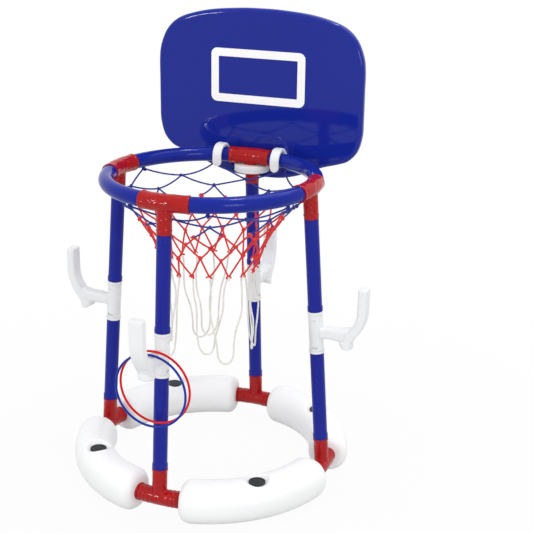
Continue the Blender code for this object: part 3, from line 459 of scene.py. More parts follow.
@dataclass(frozen=True)
class PlatedSteel(Finish):
    """Zinc-plated steel with tool marks and a little tarnish."""

    tarnish_scale: float = 260.0
    mark_scale: Triple = (3200.0, 400.0, 400.0)
    mark_depth: float = 0.00002
    roughness: float = 0.24

    def material(self) -> bpy.types.Material:
        """Build the material.

        Returns:
            The material.
        """
        make = Surface(self.name)
        tarnish = make.ramp(make.noise(self.tarnish_scale, 5.0), 0.45, 0.75)
        marks = make.noise(1.0, 2.0, make.stretched(self.mark_scale))
        colour = make.mix(tarnish * 0.6, self.colour, self.shade(0.6))
        return make.finish(Base_Color=colour, Metallic=1.0 - tarnish * 0.15,
                           Roughness=self.roughness + marks * 0.15 + tarnish * 0.2,
                           Normal=make.bump(marks, self.mark_depth))


FINISHES = (
    MouldedPlastic("float_white", "float", (0.872, 0.878, 0.882), roughness=0.42, specular=0.3,
                   mottle=0.012, mottle_scale=14.0, grain=0.00004, grain_scale=700.0,
                   ripple=0.0009, ripple_scale=16.0),
    MouldedRubber("plug_black", "plug", (0.011, 0.012, 0.014)),
    MouldedPlastic("fitting_red", "tee", (0.370, 0.006, 0.007), roughness=0.12, specular=0.22,
                   mottle=0.12, mottle_scale=60.0, grain_scale=600.0, ripple=0.0034,
                   ripple_scale=60.0, ripple_stretch=2.2, rubs=0.03),
    MouldedPlastic("leg_blue", "leg_tube", (0.009, 0.016, 0.250), roughness=0.20, specular=0.15,
                   mottle=0.06, mottle_scale=30.0, streaks=0.10),
    MouldedPlastic("hook_white", "hook", (0.775, 0.785, 0.795), roughness=0.36, specular=0.3,
                   mottle=0.015, mottle_scale=40.0, grain=0.00003, grain_scale=800.0,
                   ripple=0.0002, ripple_scale=60.0),
    MouldedPlastic("rim_blue", "rim_tube", (0.007, 0.018, 0.260), roughness=0.11, specular=0.13,
                   mottle=0.06, mottle_scale=30.0, grain=0.00001, ripple=0.0002,
                   ripple_scale=30.0, rubs=0.03),
    MouldedPlastic("board_blue", "board", (0.007, 0.018, 0.258), roughness=0.05, specular=0.22,
                   mottle=0.03, mottle_scale=9.0, grain=0.000003, grain_scale=500.0,
                   ripple=0.0001, ripple_scale=5.0, rubs=0.015),
    PrintedPaint("target_white", "paint", (0.93, 0.93, 0.93)),
    PlatedSteel("screw_steel", "screw", (0.62, 0.62, 0.64)),
    TwistedCord("cord_blue", "cord_blue", (0.016, 0.030, 0.290)),
    TwistedCord("cord_red", "cord_red", (0.74, 0.026, 0.026)),
    TwistedCord("cord_white", "cord_white", (0.93, 0.90, 0.84)),
    MouldedPlastic("ring_red", "ring_red", (0.66, 0.003, 0.006), roughness=0.20, specular=0.16,
                   mottle=0.04, mottle_scale=60.0),
    MouldedPlastic("ring_blue", "ring_blue", (0.003, 0.026, 0.30), roughness=0.20, specular=0.16,
                   mottle=0.04, mottle_scale=60.0),
)


# ---- Shapes

def to_mesh(shape: bmesh.types.BMesh) -> Mesh:
    """Mesh of a closed shape, with its faces turned outwards.

    Args:
        shape: The shape, which is freed.

    Returns:
        The mesh.
    """
    bmesh.ops.recalc_face_normals(shape, faces=shape.faces)
    mesh = bpy.data.meshes.new("shape")
    shape.to_mesh(mesh)
    shape.free()
    return mesh


def axes_frame(x: Sequence[float], y: Sequence[float], z: Sequence[float],
               place: Sequence[float]) -> Matrix:
    """Frame with these axes at a place.

    Args:
        x: Direction of its X axis.
        y: Direction of its Y axis.
        z: Direction of its Z axis.
        place: Where it stands.

    Returns:
        The frame.
    """
    placed = Matrix((x, y, z)).transposed().to_4x4()
    placed.translation = place
    return placed


def polar(radius: float, angle: float, height: float = 0.0) -> Vector:
    """Point at a distance from the Z axis and at an angle about it."""
    return Vector((radius * math.cos(angle), radius * math.sin(angle), height))


def ring_frame(angle: float, radius: float, height: float) -> Matrix:
    """Frame of a section across a ring: X outwards, Y up and Z along the ring."""
    outward = polar(1.0, angle)
    return axes_frame(outward, UP, outward.cross(UP), outward * radius + UP * height)


def circle(placed: Matrix, radius: float, sides: int) -> list[Vector]:
    """Points of a circle in the XY plane of a frame."""
    return [placed @ polar(radius, FULL_TURN * k / sides) for k in range(sides)]


def squircle(share: float, sides: int) -> list[Point2]:
    """Points of a circle of radius 1 that bulges towards its corners.

    Args:
        share: Power of its sine and cosine: 1 gives a circle, and less gives fuller corners.
        sides: Number of its points.

    Returns:
        The points.
    """
    angles = [FULL_TURN * k / sides for k in range(sides)]
    return [tuple(math.copysign(abs(part) ** share, part) for part in (math.cos(a), math.sin(a)))
            for a in angles]


def rounded_rectangle(half_width: float, low: float, high: float, radius: float,
                      steps: int = 12) -> list[Point2]:
    """Points (x, y) of a rectangle with rounded corners, counterclockwise.

    Args:
        half_width: Half of its width, as it is centred on x = 0.
        low: Its least y.
        high: Its greatest y.
        radius: Radius of its corners.
        steps: Number of steps in each corner.

    Returns:
        The points.
    """
    points = []
    heights = (low + radius, high - radius)
    corners = ((1, heights[0]), (1, heights[1]), (-1, heights[1]), (-1, heights[0]))
    for k, (side, height) in enumerate(corners):
        centre = side * (half_width - radius)
        for step in range(steps + 1):
            angle = QUARTER_TURN * (k - 1 + step / steps)
            points.append((centre + radius * math.cos(angle), height + radius * math.sin(angle)))
    return points


def rounded(profile: Sequence[Point2], radius: float, steps: int = 3) -> list[Point2]:
    """Profile whose inner corners are rounded off.

    Args:
        profile: Points of the profile.
        radius: Length that each corner gives up on both sides, where there is room.
        steps: Number of steps in each rounding.

    Returns:
        The points of the rounded profile.
    """
    points = [tuple(profile[0])]
    for before, corner, after in zip(profile, profile[1:], profile[2:]):
        middle = Vector(corner)
        back = Vector(before) - middle
        ahead = Vector(after) - middle
        reach = min(radius, back.length * 0.48, ahead.length * 0.48)
        start = middle + back.normalized() * reach
        end = middle + ahead.normalized() * reach
        for k in range(steps + 1):
            t = k / steps
            points.append(tuple(start * (1 - t) ** 2 + middle * (2 * t * (1 - t)) + end * t ** 2))
    points.append(tuple(profile[-1]))
    return points


def mirrored(half: Sequence[Point2]) -> list[Point2]:
    """Profile of (distance along, radius), from its other side."""
    return [(-along, radius) for along, radius in reversed(half)]


def smooth_path(points: Sequence[Vector], steps: int, closed: bool = False) -> list[Vector]:
    """Smooth path through points.

    Args:
        points: What it runs through.
        steps: Number of steps between each two points.
        closed: Whether it runs back to the first point.

    Returns:
        The points of the path.
    """
    count = len(points)
    path = []
    for k in range(count if closed else count - 1):
        if closed:
            a, b, c, d = (points[(k + shift) % count] for shift in (-1, 0, 1, 2))
        else:
            b, c = points[k], points[k + 1]
            a = points[k - 1] if k else b * 2 - c
            d = points[k + 2] if k + 2 < count else c * 2 - b
        for step in range(steps):
            t = step / steps
            path.append((b * 2 + (c - a) * t + (a * 2 - b * 5 + c * 4 - d) * t ** 2
                         + (b * 3 - a - c * 3 + d) * t ** 3) / 2)
    if not closed:
        path.append(points[-1].copy())
    return path


def between(x: float, stops: Sequence[Point2]) -> float:
    """Value on straight lines between stops.

    Args:
        x: Place at which the value is read.
        stops: Place and value of each stop.

    Returns:
        The value.
    """
    for (x0, y0), (x1, y1) in zip(stops, stops[1:]):
        if x <= x1:
            share = min(1.0, max(0.0, (x - x0) / (x1 - x0)))
            return y0 + (y1 - y0) * share
    return stops[-1][1]


def eased(t: float) -> float:
    """Share from 0 to 1 that starts and ends softly."""
    return t * t * (3 - 2 * t)


def skin(rings: Sequence[Sequence[Vector]], closed: bool = False) -> Mesh:
    """Solid whose surface runs through rings of points.

    Args:
        rings: Rings with the same number of points.
        closed: Whether the last ring joins the first, and not a cap.

    Returns:
        The mesh.
    """
    shape = bmesh.new()
    rows = [[shape.verts.new(point) for point in ring] for ring in rings]
    pairs = list(zip(rows, rows[1:]))
    if closed:
        pairs.append((rows[-1], rows[0]))
    else:
        shape.faces.new(rows[0])
        shape.faces.new(rows[-1])
    for low, high in pairs:
        for k in range(len(low)):
            after = (k + 1) % len(low)
            shape.faces.new((low[k], low[after], high[after], high[k]))
    return to_mesh(shape)


def turned(profile: Sequence[Point2], sides: int, placed: Matrix = Matrix(),
           closed: bool = False) -> Mesh:
    """Solid of a profile of (radius, height) turned about the Z axis of a frame."""
    return skin([circle(placed @ Matrix.Translation((0, 0, height)), radius, sides)
                 for radius, height in profile], closed)


def bent(profile: Sequence[Point2], ring_radius: float, height: float, sides: int,
         closed: bool = False) -> Mesh:
    """Solid of a profile of (distance along, radius) laid round a ring about the Z axis."""
    return skin([circle(ring_frame(along / ring_radius, ring_radius, height), radius, sides)
                 for along, radius in profile], closed)


def swept(path: Sequence[Vector], radius: float, sides: int) -> Mesh:
    """Round tube along a closed path.

    Args:
        path: Points of its middle line.
        radius: Radius of the tube.
        sides: Number of points round it.

    Returns:
        The mesh.
    """
    rings = []
    for k, point in enumerate(path):
        along = (path[(k + 1) % len(path)] - path[k - 1]).normalized()
        side = along.cross(UP)
        side = side.normalized() if side.length > 0.05 else Vector((1, 0, 0))
        rings.append(circle(axes_frame(side, along.cross(side), along, point), radius, sides))
    return skin(rings, closed=True)


def box(low: Sequence[float], high: Sequence[float]) -> Mesh:
    """Block between two corners.

    Args:
        low: One corner.
        high: The corner across from it.

    Returns:
        The mesh.
    """
    shape = bmesh.new()
    bmesh.ops.create_cube(shape, size=1)
    low, high = Vector(low), Vector(high)
    shape.transform(Matrix.Translation((low + high) / 2) @ Matrix.Diagonal((*(high - low), 1)))
    return to_mesh(shape)


def welded(meshes: Sequence[Mesh]) -> Mesh:
    """One mesh that holds several.

    Args:
        meshes: The meshes that it holds.

    Returns:
        The mesh.
    """
    shape = bmesh.new()
    for mesh in meshes:
        shape.from_mesh(mesh)
    return to_mesh(shape)


def modified(mesh: Mesh, *changes: tuple[str, dict[str, Any]]) -> Mesh:
    """Mesh with modifiers applied.

    Args:
        mesh: Mesh to start from.
        changes: Type of each modifier, with its properties and the inputs of its node tree.

    Returns:
        The new mesh.
    """
    piece = bpy.data.objects.new("working", mesh)
    bpy.context.collection.objects.link(piece)
    for kind, settings in changes:
        modifier = piece.modifiers.new(kind, kind)
        for key, value in settings.items():
            if hasattr(modifier, key):
                setattr(modifier, key, value)
            else:
                modifier[key] = value
    graph = bpy.context.evaluated_depsgraph_get()
    result = bpy.data.meshes.new_from_object(piece.evaluated_get(graph), depsgraph=graph)
    bpy.data.objects.remove(piece)
    return result


def combined(base: Mesh, joined: Iterable[Mesh] = (), cut: Iterable[Mesh] = ()) -> Mesh:
    """Mesh with others joined to it and cut from it.

    Args:
        base: Mesh to start from.
        joined: Meshes that become one with it.
        cut: Meshes that are taken away.

    Returns:
        The new mesh.
    """
    jobs = [("UNION", mesh) for mesh in joined] + [("DIFFERENCE", mesh) for mesh in cut]
    for operation, mesh in jobs:
        tool = bpy.data.objects.new("tool", mesh)
        bpy.context.collection.objects.link(tool)
        settings = {"operation": operation, "solver": "EXACT", "object": tool}
        base = modified(base, ("BOOLEAN", settings))
        bpy.data.objects.remove(tool)
    return base


def rumpled(mesh: Mesh, depth: float, scale: Vector, seed: float) -> Mesh:
    """Mesh whose surface is moved along its normals by soft noise.

    Args:
        mesh: Mesh to change.
        depth: How far the noise moves it.
        scale: Number of the noise's features in a metre, on each axis.
        seed: Where in the noise it starts.

    Returns:
        The same mesh.
    """
    start = Vector((seed, seed, seed))
    moves = [v.normal * (depth * noise.noise(v.co * scale + start)) for v in mesh.vertices]
    for vertex, move in zip(mesh.vertices, moves):
        vertex.co += move
    mesh.update()
    return mesh


def saddle_stem(upper: Sequence[Point2], run_radius: float, fillet: float, placed: Matrix,
                sides: int = 64) -> Mesh:
    """Stem that flares into the side of a round run, as the branch of a moulded tee does.

    Args:
        upper: Profile of (radius, height) above the flare.
        run_radius: Radius of the run, whose axis is the Y axis of the frame.
        fillet: Radius of the flare.
        placed: Frame with Z along the stem.
        sides: Number of points round the stem.

    Returns:
        The mesh.
    """
    radius = upper[0][0]
    sink = fillet * 0.12
    first_sweep, steps = 22, 6
    rings = [circle(placed, radius * 0.7, sides)]
    for step in range(steps + 1):
        sweep = math.radians(first_sweep + (90 - first_sweep) * step / steps)
        ring = []
        for k in range(sides):
            angle = FULL_TURN * k / sides
            flare = fillet * math.sin(angle) ** 2
            reach = radius + flare * (1 - math.sin(sweep))
            across = min(abs(reach * math.cos(angle)), run_radius * 0.985)
            saddle = math.sqrt(run_radius ** 2 - across ** 2) - sink
            height = saddle + flare * (1 - math.cos(sweep))
            ring.append(placed @ polar(reach, angle, height))
        rings.append(ring)
    base = run_radius + fillet * 1.1
    profile = rounded([(radius, base), *(point for point in upper if point[1] > base)], 0.0005)
    rings += [circle(placed @ Matrix.Translation((0, 0, h)), r, sides) for r, h in profile]
    return skin(rings)


def chains_mesh(chains: Iterable[Sequence[Vector]]) -> Mesh:
    """Mesh of loose edges along chains of points.

    Args:
        chains: Points of each chain.

    Returns:
        The mesh.
    """
    points: list[Vector] = []
    edges: list[tuple[int, int]] = []
    for chain in chains:
        start = len(points)
        points += chain
        edges += [(k, k + 1) for k in range(start, len(points) - 1)]
    mesh = bpy.data.meshes.new("chains")
    mesh.from_pydata(points, edges, [])
    return mesh


def points_mesh(points: Sequence[Vector], turns: Sequence[float] = ()) -> Mesh:
    """Mesh of loose points.

    Args:
        points: Place of each point.
        turns: Turn about Z of each, which is kept as the attribute turn.

    Returns:
        The mesh.
    """
    mesh = chains_mesh([point] for point in points)
    if turns:
        mesh.attributes.new("turn", "FLOAT", "POINT").data.foreach_set("value", list(turns))
    return mesh


class NodeShape(Graph):
    """Geometry Nodes tree with named inputs, run on a mesh and turned into a plain mesh."""

    def __init__(self, name: str, inputs: dict[str, str]) -> None:
        """Start a tree.

        Args:
            name: Name of the tree.
            inputs: Name and type of each input between the geometry and the material.
        """
        tree = bpy.data.node_groups.new(name, "GeometryNodeTree")
        tree.is_modifier = True
        self.identifiers = {}
        for label, kind in {"Geometry": "Geometry", **inputs, "Material": "Material"}.items():
            item = tree.interface.new_socket(label, in_out="INPUT",
                                             socket_type="NodeSocket" + kind)
            self.identifiers[label] = item.identifier
        tree.interface.new_socket("Geometry", in_out="OUTPUT", socket_type="NodeSocketGeometry")
        super().__init__(tree)
        self.given = self.node("NodeGroupInput")

    def end(self, geometry: Signal) -> None:
        """End the tree: realize the instances and set the material.

        Args:
            geometry: What comes out.
        """
        real = self.node("GeometryNodeRealizeInstances", {"Geometry": geometry})[0]
        values = {"Geometry": real, "Material": self.given["Material"]}
        dressed = self.node("GeometryNodeSetMaterial", values)[0]
        self.node("NodeGroupOutput", {"Geometry": dressed})

    def run(self, mesh: Mesh, **values: Any) -> Mesh:
        """Run the tree on a mesh.

        Args:
            mesh: The geometry that goes in.
            values: Value of each input, with _ for a space in its name.

        Returns:
            A plain mesh.
        """
        inputs = {self.identifiers[label.replace("_", " ")]: v for label, v in values.items()}
        return modified(mesh, ("NODES", {"node_group": self.tree, **inputs}))


def cord_tree(sides: int = 12, strands: int = 3) -> NodeShape:
    """Tree that lays a twisted cord along every chain of edges of a mesh.

    Args:
        sides: Number of points round the cord.
        strands: Number of its strands.

    Returns:
        The tree.
    """
    make = NodeShape("twisted_cord", {"Radius": "Float", "Lobe depth": "Float",
                                      "Twist pitch": "Float", "Spacing": "Float"})
    path = make.node("GeometryNodeMeshToCurve", {"Mesh": make.given["Geometry"]})[0]
    path = make.node("GeometryNodeResampleCurve",
                     {"Curve": path, "Length": make.given["Spacing"]}, mode="LENGTH")[0]
    length = make.node("GeometryNodeSplineParameter")["Length"]
    twist = length / make.given["Twist pitch"] * FULL_TURN
    path = make.node("GeometryNodeSetCurveTilt", {"Curve": path, "Tilt": twist})[0]
    section = make.node("GeometryNodeCurvePrimitiveCircle", {"Resolution": sides, "Radius": 1.0},
                        mode="RADIUS")["Curve"]
    turn = make.node("GeometryNodeInputIndex")[0] * (FULL_TURN * strands / sides)
    lobes = turn.maths("COSINE") * make.given["Lobe depth"] + 1
    place = make.node("GeometryNodeInputPosition")[0] * (lobes * make.given["Radius"])
    section = make.node("GeometryNodeSetPosition", {"Geometry": section, "Position": place})[0]
    make.end(make.node("GeometryNodeCurveToMesh",
                       {"Curve": path, "Profile Curve": section, "Fill Caps": True})[0])
    return make


def scatter_tree(name: str, spin: bool) -> NodeShape:
    """Tree that sets a shape on every point of a mesh.

    Args:
        name: Name of the tree.
        spin: Whether each copy is turned at random, or else by the point's turn attribute.

    Returns:
        The tree.
    """
    make = NodeShape(name, {"Shape": "Object", "Seed": "Int"})
    shape = make.node("GeometryNodeObjectInfo", {"Object": make.given["Shape"]})["Geometry"]
    if spin:
        values = {"Min": (0, 0, 0), "Max": (FULL_TURN,) * 3, "Seed": make.given["Seed"]}
        rotation = make.node("FunctionNodeRandomValue", values, data_type="FLOAT_VECTOR")[0]
    else:
        turn = make.node("GeometryNodeInputNamedAttribute", {"Name": "turn"},
                         data_type="FLOAT")[0]
        rotation = make.node("ShaderNodeCombineXYZ", {"Z": turn})[0]
    make.end(make.node("GeometryNodeInstanceOnPoints", {
        "Points": make.given["Geometry"], "Instance": shape, "Rotation": rotation})[0])
    return make


# ---- Sub-assemblies

@dataclass(frozen=True)
class Layout:
    """Sizes that the sub-assemblies share."""

    base_radius: float = 0.2175
    rim_radius: float = 0.1815
    fit_gap: float = 0.0003
    float_half_height: float = 0.037
    base_stem: float = 0.053
    tube_length: float = 0.1655
    coupler_length: float = 0.0763
    rim_stem: float = 0.052
    spigot_radius: float = 0.0102
    spigot_length: float = 0.018
    tube_radius: float = 0.0125
    bore_radius: float = 0.0105
    rim_tube_radius: float = 0.0135
    rim_tee_radius: float = 0.0150
    stem_radius: float = 0.0128
    stem_lip_radius: float = 0.0136
    sides: int = 48
    fine_sides: int = 64

    @property
    def leg_length(self) -> float:
        """Length of a leg between the middles of the two rings."""
        return self.base_stem + 2 * self.tube_length + self.coupler_length + self.rim_stem

    @property
    def lean(self) -> float:
        """Angle that a leg leans in."""
        return math.asin((self.base_radius - self.rim_radius) / self.leg_length)

    @property
    def rim_height(self) -> float:
        """Height of the middle of the rim."""
        return self.float_half_height + self.leg_length * math.cos(self.lean)

    @property
    def coupler_start(self) -> float:
        """Station of the lower end of a coupler."""
        return self.base_stem + self.tube_length

    @property
    def upper_tube_start(self) -> float:
        """Station of the lower end of an upper tube."""
        return self.coupler_start + self.coupler_length

    def leg_frame(self, station: float = 0.0) -> Matrix:
        """Frame on the axis of the leg on +X: X outwards, Y sideways, Z up the leg."""
        start = Matrix.Translation((self.base_radius, 0, self.float_half_height))
        return start @ Matrix.Rotation(-self.lean, 4, "Y") @ Matrix.Translation((0, 0, station))

    def coupler_frame(self) -> Matrix:
        """Upright frame at the middle of the coupler of the leg on +X."""
        middle = self.leg_frame(self.coupler_start + self.coupler_length / 2)
        return Matrix.Translation(middle.translation)

    def spigot(self, end: float) -> list[Point2]:
        """Profile of the spigot that goes on from the end of a stem into a tube."""
        tip = end + self.spigot_length
        return [(self.spigot_radius, end), (self.spigot_radius, tip), (CAP_RADIUS, tip)]


@dataclass
class Assembly:
    """Group of pieces, with the sizes and materials that all groups share."""

    layout: Layout
    finishes: dict[str, bpy.types.Material]

    def dress(self, name: str, mesh: Mesh, slot: str, nodes: Sequence[str] = (),
              body: str = "frame", turn: Matrix = Matrix(), sharp: float = 38.0,
              flat: bool = False) -> None:
        """Show a piece, hang it on its body and hide the solids that it stands for.

        Args:
            name: Name of the piece.
            mesh: Its mesh, which is copied.
            slot: The record's slot of its material.
            nodes: Nodes of the solids that the piece stands for.
            body: Body that it moves with.
            turn: Turn or move of the mesh from where it was made.
            sharp: Least angle between faces, in degrees, that shows as an edge.
            flat: Whether its large faces keep their own normal, to mirror as flat faces do.
        """
        own = mesh.copy()
        own.transform(turn)
        own.materials.clear()
        own.materials.append(self.finishes[slot])
        own.shade_smooth()
        own.set_sharp_from_angle(angle=math.radians(sharp))
        if flat:
            weights = {"mode": "FACE_AREA", "weight": 100, "keep_sharp": True}
            own = modified(own, ("WEIGHTED_NORMAL", weights))
        own.name = name
        piece = bpy.data.objects.new(name, own)
        bpy.context.collection.objects.link(piece)
        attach(piece, body)
        if nodes:
            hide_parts(*nodes)
        LOG.info("%s: %d faces, on %s", name, len(own.polygons), body)


@dataclass
class Floats(Assembly):
    """Ring of four hollow floats with their plugs."""

    half_width: float = 0.036
    end_rounding: float = 0.018
    end_share: float = 0.57
    corner_share: float = 0.92
    socket_radius: float = 0.0119
    socket_depth: float = 0.014
    socket_edge: float = 0.0008
    tee_half_run: float = 0.0399
    pocket_top: float = 0.0235
    pocket_floor: float = 0.0158
    pocket_depth: float = 0.0094
    plug_head: float = 0.0145
    plug_height: float = 0.0026
    plug_shank: float = 0.0085
    plug_length: float = 0.0070
    plug_dish: float = 0.0007
    plug_button: float = 0.0002
    round_steps: int = 12
    middle_steps: int = 84
    sides: int = 96

    def stations(self) -> list[Point2]:
        """Distance along and scale of each section, closest at the ends and the pocket.

        Returns:
            The stations.
        """
        layout = self.layout
        half = math.pi / 4 * layout.base_radius - self.tee_half_run - layout.fit_gap
        ends = []
        for k in range(self.round_steps):
            share = 1 - math.cos(QUARTER_TURN * k / self.round_steps)
            scale = self.end_share + (1 - self.end_share) * math.sqrt(1 - (1 - share) ** 2)
            ends.append((half - self.end_rounding * share, scale))
        middle = half - self.end_rounding
        places = [2 * k / self.middle_steps - 1 for k in range(self.middle_steps + 1)]
        inner = [(middle * (0.55 * w + 0.45 * w ** 3), 1.0) for w in places]
        return [(-along, scale) for along, scale in ends] + inner + ends[::-1]

    def section(self, along: float, scale: float) -> list[Vector]:
        """Section of the float.

        Args:
            along: Distance along the ring from the middle of the float.
            scale: Size of the section, as a share of the full one.

        Returns:
            The points.
        """
        height = self.layout.float_half_height
        placed = ring_frame(along / self.layout.base_radius, self.layout.base_radius, height)
        wide, high = self.half_width * scale, height * scale
        return [self.sunk(placed @ Vector((wide * across, high * rise, 0)))
                for across, rise in squircle(self.corner_share, self.sides)]

    def sunk(self, point: Vector) -> Vector:
        """Point of the surface, moved down where the pocket for the plug is.

        Args:
            point: The point before.

        Returns:
            The point after.
        """
        height = self.layout.float_half_height
        distance = math.hypot(point.x - self.layout.base_radius, point.y)
        if point.z < height or distance > self.pocket_top:
            return point
        t = min(1.0, (self.pocket_top - distance) / (self.pocket_top - self.pocket_floor))
        floor = 2 * height - self.pocket_depth
        return Vector((point.x, point.y, point.z + (floor - point.z) * eased(t)))

    def shell(self) -> Mesh:
        """Float on +X.

        Returns:
            The mesh.
        """
        base, height = self.layout.base_radius, self.layout.float_half_height
        stations = self.stations()
        end = stations[-1][0]
        mouth = ((self.socket_depth, self.socket_radius), (self.socket_edge, self.socket_radius),
                 (0.0, self.socket_radius + self.socket_edge))
        near, far = ([circle(ring_frame(side * (end - deep) / base, base, height), radius,
                             self.sides) for deep, radius in mouth] for side in (-1, 1))
        return skin(near + [self.section(*station) for station in stations] + far[::-1])

    def plug(self) -> Mesh:
        """Plug with its head's underside at height zero.

        Returns:
            The mesh.
        """
        head, top = self.plug_head, self.plug_height
        dish, button = top - self.plug_dish, top - self.plug_button
        profile = rounded([
            (TIP_RADIUS, -self.plug_length), (self.plug_shank, -self.plug_length),
            (self.plug_shank, 0.0), (head, 0.0), (head, top), (head * 0.80, top),
            (head * 0.74, dish), (head * 0.40, dish), (head * 0.32, button),
            (TIP_RADIUS, button)], 0.0006, 4)
        return turned(profile, self.layout.sides)

    def build(self) -> None:
        """Make the floats and plugs."""
        layout = self.layout
        shell, plug = self.shell(), self.plug()
        top = 2 * layout.float_half_height - self.pocket_depth + layout.fit_gap
        for quarter in Quarter:
            label, turn = quarter.label, quarter.turn
            self.dress(f"float_shell_{label}", shell, "float", [f"float_{label}"], turn=turn)
            seat = Matrix.Translation(turn @ Vector((layout.base_radius, 0, top)))
            self.dress(f"plug_cap_{label}", plug, "plug", [f"float_plug_{label}"],
                       body=f"plug_{label}", turn=seat)


@dataclass
class BaseTees(Assembly):
    """Ribbed red tees that join the floats and carry the legs."""

    half_run: float = 0.0399
    radius: float = 0.0145
    ridge: float = 0.0009
    plain_half: float = 0.0150
    lip_width: float = 0.0030
    ridges: int = 3
    ridge_steps: int = 8
    spigot_radius: float = 0.0115
    spigot_length: float = 0.0120
    fillet: float = 0.0035
    rumple: float = 0.0003
    rumple_scale: Triple = (150.0, 150.0, 90.0)
    rumple_start: float = 3.1

    def run(self) -> Mesh:
        """Ribbed run along the base ring, with a spigot for a float at each end.

        Returns:
            The mesh.
        """
        end, tip = self.half_run, self.half_run + self.spigot_length
        pitch = (end - self.lip_width - self.plain_half) / self.ridges
        half = [(self.plain_half * k / 12, self.radius) for k in range(13)]
        for k in range(1, self.ridges * self.ridge_steps + 1):
            along = self.plain_half + pitch * k / self.ridge_steps
            wave = math.sqrt(abs(math.sin(math.pi * k / self.ridge_steps)))
            half.append((along, self.radius - self.ridge / 2 + self.ridge * wave))
        lip = self.radius + self.ridge
        half += rounded([(end - 0.0026, self.radius), (end - 0.0022, lip), (end, lip),
                         (end, self.spigot_radius), (tip, self.spigot_radius),
                         (tip, CAP_RADIUS)],
                        0.0005)
        layout = self.layout
        return bent(mirrored(half[1:]) + half, layout.base_radius, layout.float_half_height,
                    layout.fine_sides)

    def tee(self) -> Mesh:
        """Whole tee on +X.

        Returns:
            The mesh.
        """
        layout = self.layout
        end, stem, lip = layout.base_stem, layout.stem_radius, layout.stem_lip_radius
        upper = [(stem, 0.0), (stem, end - 0.0045), (lip, end - 0.0032), (lip, end),
                 *layout.spigot(end)]
        branch = saddle_stem(upper, self.radius, self.fillet, layout.leg_frame())
        whole = combined(self.run(), joined=[branch])
        return rumpled(whole, self.rumple, Vector(self.rumple_scale), self.rumple_start)

    def build(self) -> None:
        """Make the four base tees."""
        tee = self.tee()
        for leg in Leg:
            self.dress(f"base_joint_{leg.label}", tee, "tee", [f"base_tee_{leg.label}"],
                       turn=leg.turn, sharp=50)


